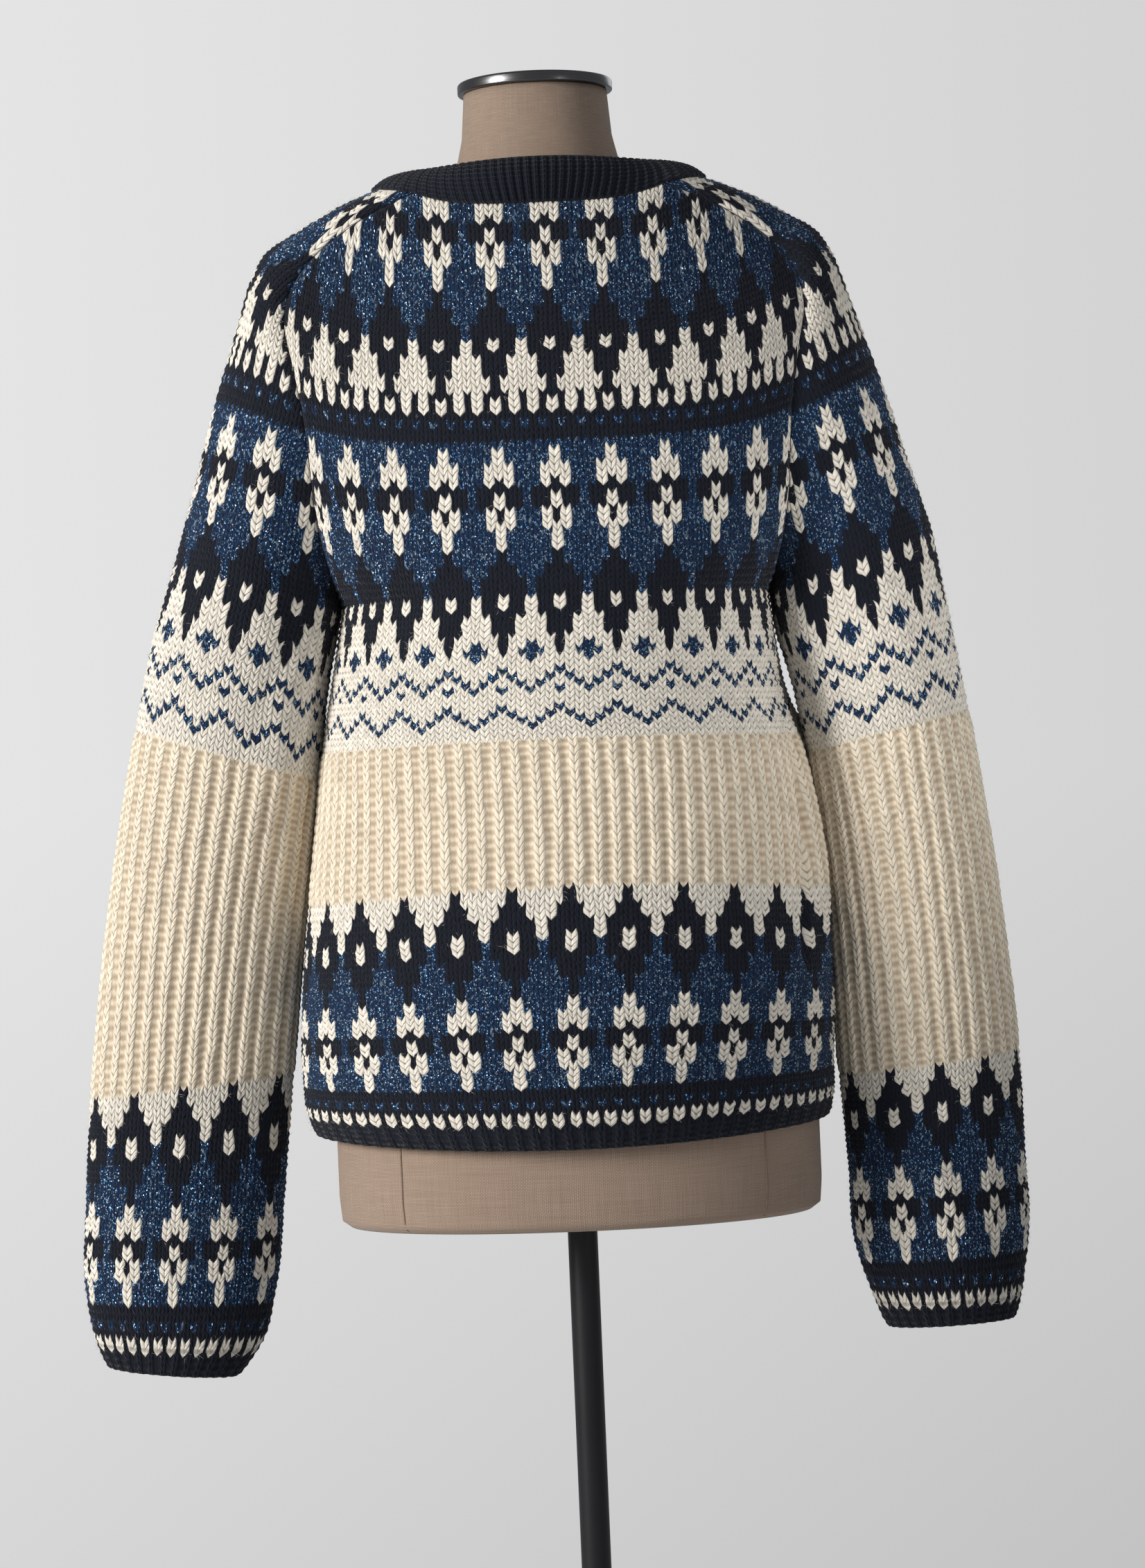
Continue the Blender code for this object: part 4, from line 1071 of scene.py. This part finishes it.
def linenWeaveGroup():
    # plain weave from a place in metres: a height, and slubs along the threads
    group, given = newGroup("linenWeave", {"Vector": None, "Thread": 0.0008}, ("Height", "Slub"))
    wobble = newNode(group, "TexNoise", {"Scale": linen["wobbleScale"], "Vector": given["Vector"]})
    off = vectorMaths(group, "SUBTRACT", Signal(group, wobble.outputs["Color"]), (0.5, 0.5, 0.5))
    bent = vectorMaths(group, "ADD", given["Vector"], vectorMaths(group, "SCALE", off, linen["wobble"]))
    warp, weft = [(place / given["Thread"] * math.pi).calc("SINE") for place in parts(group, "XYZ", bent)[:2]]
    over = warp * weft
    slubs = [noise(group, vectorMaths(group, "MULTIPLY", given["Vector"], stretch), 1.0, 2.0)
             for stretch in linen["slubs"]]
    return putOut(group, Height=abs(over) + over * 0.3, Slub=(slubs[0] + slubs[1]) * 0.5)


def linenMaterial():
    material, tree = newMaterial("greige_linen")
    weave = placed(tree, linenWeaveGroup(), Vector=stitchPlace(tree), Thread=linen["thread"])
    ramp = newNode(tree, "MapRange", {"Value": weave["Slub"], "From Min": 0.30, "From Max": 0.66})
    threads = mix(tree, Signal(tree, ramp.outputs[0]), linen["dark"], linen["pale"])
    # painted shade: the threads darker where they dip under the crossing threads
    colour = shaded(tree, threads, weave["Height"] * 0.62 + 0.58)
    worn = noise(tree, objectPlace(tree), 14.0)
    return surface(material, BaseColor=mix(tree, worn * 0.25, colour, linen["dark"]), Roughness=0.88,
                   SheenWeight=0.15, Normal=bumped(tree, weave["Height"] + weave["Slub"], 0.6, 0.0003))


def seamMaterial():
    material, tree = newMaterial("seam_thread")
    dots = noise(tree, objectPlace(tree), 700.0, 1.0)
    return surface(material, BaseColor=mix(tree, dots, linen["seam"], linen["dark"]), Roughness=0.9)


def paintMaterial(name, tint, roughness, grain):
    material, tree = newMaterial(name)
    place = objectPlace(tree)
    smears = noise(tree, place, 9.0, 4.0)
    paler = tuple(c * 1.5 + 0.003 for c in tint)
    return surface(material, BaseColor=mix(tree, smears, tint, paler), SpecularIORLevel=0.3,
                   Roughness=smears * 0.16 + (roughness - 0.08),
                   Normal=bumped(tree, noise(tree, place, grain, 2.0), 0.25, 0.0002))


def turnedMetalMaterial():
    # a lathe-turned disc: fine rings round the axis
    material, tree = newMaterial("turned_steel")
    x, y, z = parts(tree, "XYZ", objectPlace(tree))
    ringed = newNode(tree, "CombineXYZ", {0: (x ** 2.0 + y ** 2.0).calc("SQRT"), 2: z})
    rings = noise(tree, Signal(tree, ringed.outputs[0]), 2600.0, 2.0)
    return surface(material, BaseColor=mix(tree, rings, (0.05, 0.05, 0.053), (0.17, 0.17, 0.175)),
                   Roughness=rings * 0.16 + 0.20, Metallic=1.0)


# ---- the pieces, each set over its solid
print("knitting the panels and sleeves")
# each piece's node, kind, side, flat size and knitted area
sheets = {
    "back_knit": ("back_panel", "panel", -1, (0.48, 0.66), 0.28),
    "front_knit": ("front_panel", "panel", 1, (0.48, 0.66), 0.27),
    "sleeve_left_knit": ("sleeve_left", "sleeve", -1, (0.37, 0.88), 0.25),
    "sleeve_right_knit": ("sleeve_right", "sleeve", 1, (0.37, 0.88), 0.25),
}


def dress(piece, node, material, replaces=True):
    piece.data.materials.append(material)
    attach(piece, "root")
    if replaces:
        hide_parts(node)


fibreGroup, legGroup = woolFibreGroup(), yarnLegGroup()
knitted = knitMaterial(fibreGroup, legGroup, glitterGroup())
for name, (node, kind, side, flat, area) in sheets.items():
    piece, hairs = knitPiece(name, kind, side)
    dress(hairs, node, knitted, replaces=False)
    dress(piece, node, knitted)
    print(name, "has", len(piece.data.polygons), "faces")

print("neckband")
band = neckbandPiece()
dress(band, "neckband", neckbandMaterial(fibreGroup, legGroup))

print("dress form and stand")
dress(formPiece(), "dress_form", linenMaterial())
dress(formSeams(), "dress_form", seamMaterial(), replaces=False)
base, pole, cap = standPieces()
dress(base, "base", paintMaterial("black_powder_coat", (0.008, 0.008, 0.009), 0.48, 1500.0))
dress(pole, "pole", paintMaterial("black_satin", (0.006, 0.0065, 0.008), 0.42, 400.0))
dress(cap, "neck_cap", turnedMetalMaterial())

# ---- floor, light and camera
print("floor, light and camera")
studio = {
    "floorRadius": 2.2, "floorSteps": 96, "floorTint": (0.66, 0.66, 0.665), "floorRoughness": 0.8,
    "ambient": 0.32, "ambientTint": (0.95, 0.975, 1.0),
    "backdrop": 0.722, "backdropSideways": -0.46, "backdropDown": -0.62, "backdropRange": (0.50, 0.80),
    "backdropTint": (0.995, 0.995, 1.0),
}
view = {"distance": 2.9, "height": 1.024, "sideways": 0.0061, "fieldOfView": 21.6, "roll": -2.4}


def addArea(name, place, target, size, power, tint, spread=180):
    light = bpy.data.lights.new(name, "AREA")
    light.spread = math.radians(spread)
    light.shape, light.size, light.energy, light.color = "DISK", size, power, tint
    lamp = bpy.data.objects.new(name, light)
    lamp.location = place
    bpy.context.scene.collection.objects.link(lamp)
    lamp.rotation_euler = (Vector(target) - Vector(place)).to_track_quat("-Z", "Y").to_euler()


floorAngle = np.arange(studio["floorSteps"]) * 2 * math.pi / studio["floorSteps"]
floorMesh = bpy.data.meshes.new("studio_floor")
floorMesh.from_pydata([(studio["floorRadius"] * math.cos(a), studio["floorRadius"] * math.sin(a), 0.0)
                       for a in floorAngle], [], [tuple(range(studio["floorSteps"]))])
floor = bpy.data.objects.new("studio_floor", floorMesh)
bpy.context.scene.collection.objects.link(floor)
floorMaterial, floorTree = newMaterial("studio_floor")
floorTints = studio["floorTint"], tuple(c * 0.97 for c in studio["floorTint"])
surface(floorMaterial, BaseColor=mix(floorTree, noise(floorTree, objectPlace(floorTree), 3.0), *floorTints),
        Roughness=studio["floorRoughness"])
floorMesh.materials.append(floorMaterial)

addArea("key", (-2.9, -1.9, 1.9), (0, 0, 1.1), 1.5, 142, (1.0, 0.965, 0.92))
addArea("fill", (2.3, -2.9, 1.2), (0.14, 0, 1.12), 0.3, 0.33, (1.0, 0.97, 0.94), 12)
addArea("rim", (1.4, 2.4, 2.2), (0, 0, 1.1), 1.2, 5, (0.95, 0.97, 1.0))

# the wall behind has painted light and shade, paler at its left towards the key and darker low down; only its
# light differs for the camera
world = bpy.data.worlds.new("studio")
bpy.context.scene.world = world
world.use_nodes = True
air = world.node_tree
ray = air.nodes.new("ShaderNodeLightPath")
direction = Signal(air, air.nodes.new("ShaderNodeTexCoord").outputs["Generated"])
sideways, forward, upward = parts(air, "XYZ", direction)
darkest, palest = studio["backdropRange"]
wall = sideways * studio["backdropSideways"] + studio["backdrop"]
wall = wall + (upward * -1.0).calc("MAXIMUM", 0.0) * studio["backdropDown"]
wall = wall.calc("MAXIMUM", darkest).calc("MINIMUM", palest)
wallTint = newNode(air, "CombineColor", {k: wall * share for k, share in enumerate(studio["backdropTint"])})
seen = air.nodes["Background"]
feed(air, {"Color": Signal(air, wallTint.outputs[0])}, seen.inputs)
glow = newNode(air, "Background", {"Color": studio["ambientTint"], "Strength": studio["ambient"]})
choose = newNode(air, "MixShader", {0: Signal(air, ray.outputs["Is Camera Ray"]),
                                    1: Signal(air, glow.outputs[0]), 2: Signal(air, seen.outputs[0])})
air.links.new(choose.outputs[0], air.nodes["World Output"].inputs["Surface"])

camera = bpy.data.cameras.new("camera")
camera.sensor_fit, camera.sensor_height = "VERTICAL", 36.0
camera.lens = camera.sensor_height / 2 / math.tan(math.radians(view["fieldOfView"] / 2))
eye = bpy.data.objects.new("camera", camera)
eye.location = (view["sideways"], -view["distance"], view["height"])
eye.rotation_mode = "XYZ"
eye.rotation_euler = (Matrix.Rotation(math.radians(90), 3, "X")
                      @ Matrix.Rotation(math.radians(view["roll"]), 3, "Z")).to_euler()
bpy.context.scene.collection.objects.link(eye)
bpy.context.scene.camera = eye
bpy.context.scene.view_settings.view_transform = "Standard"
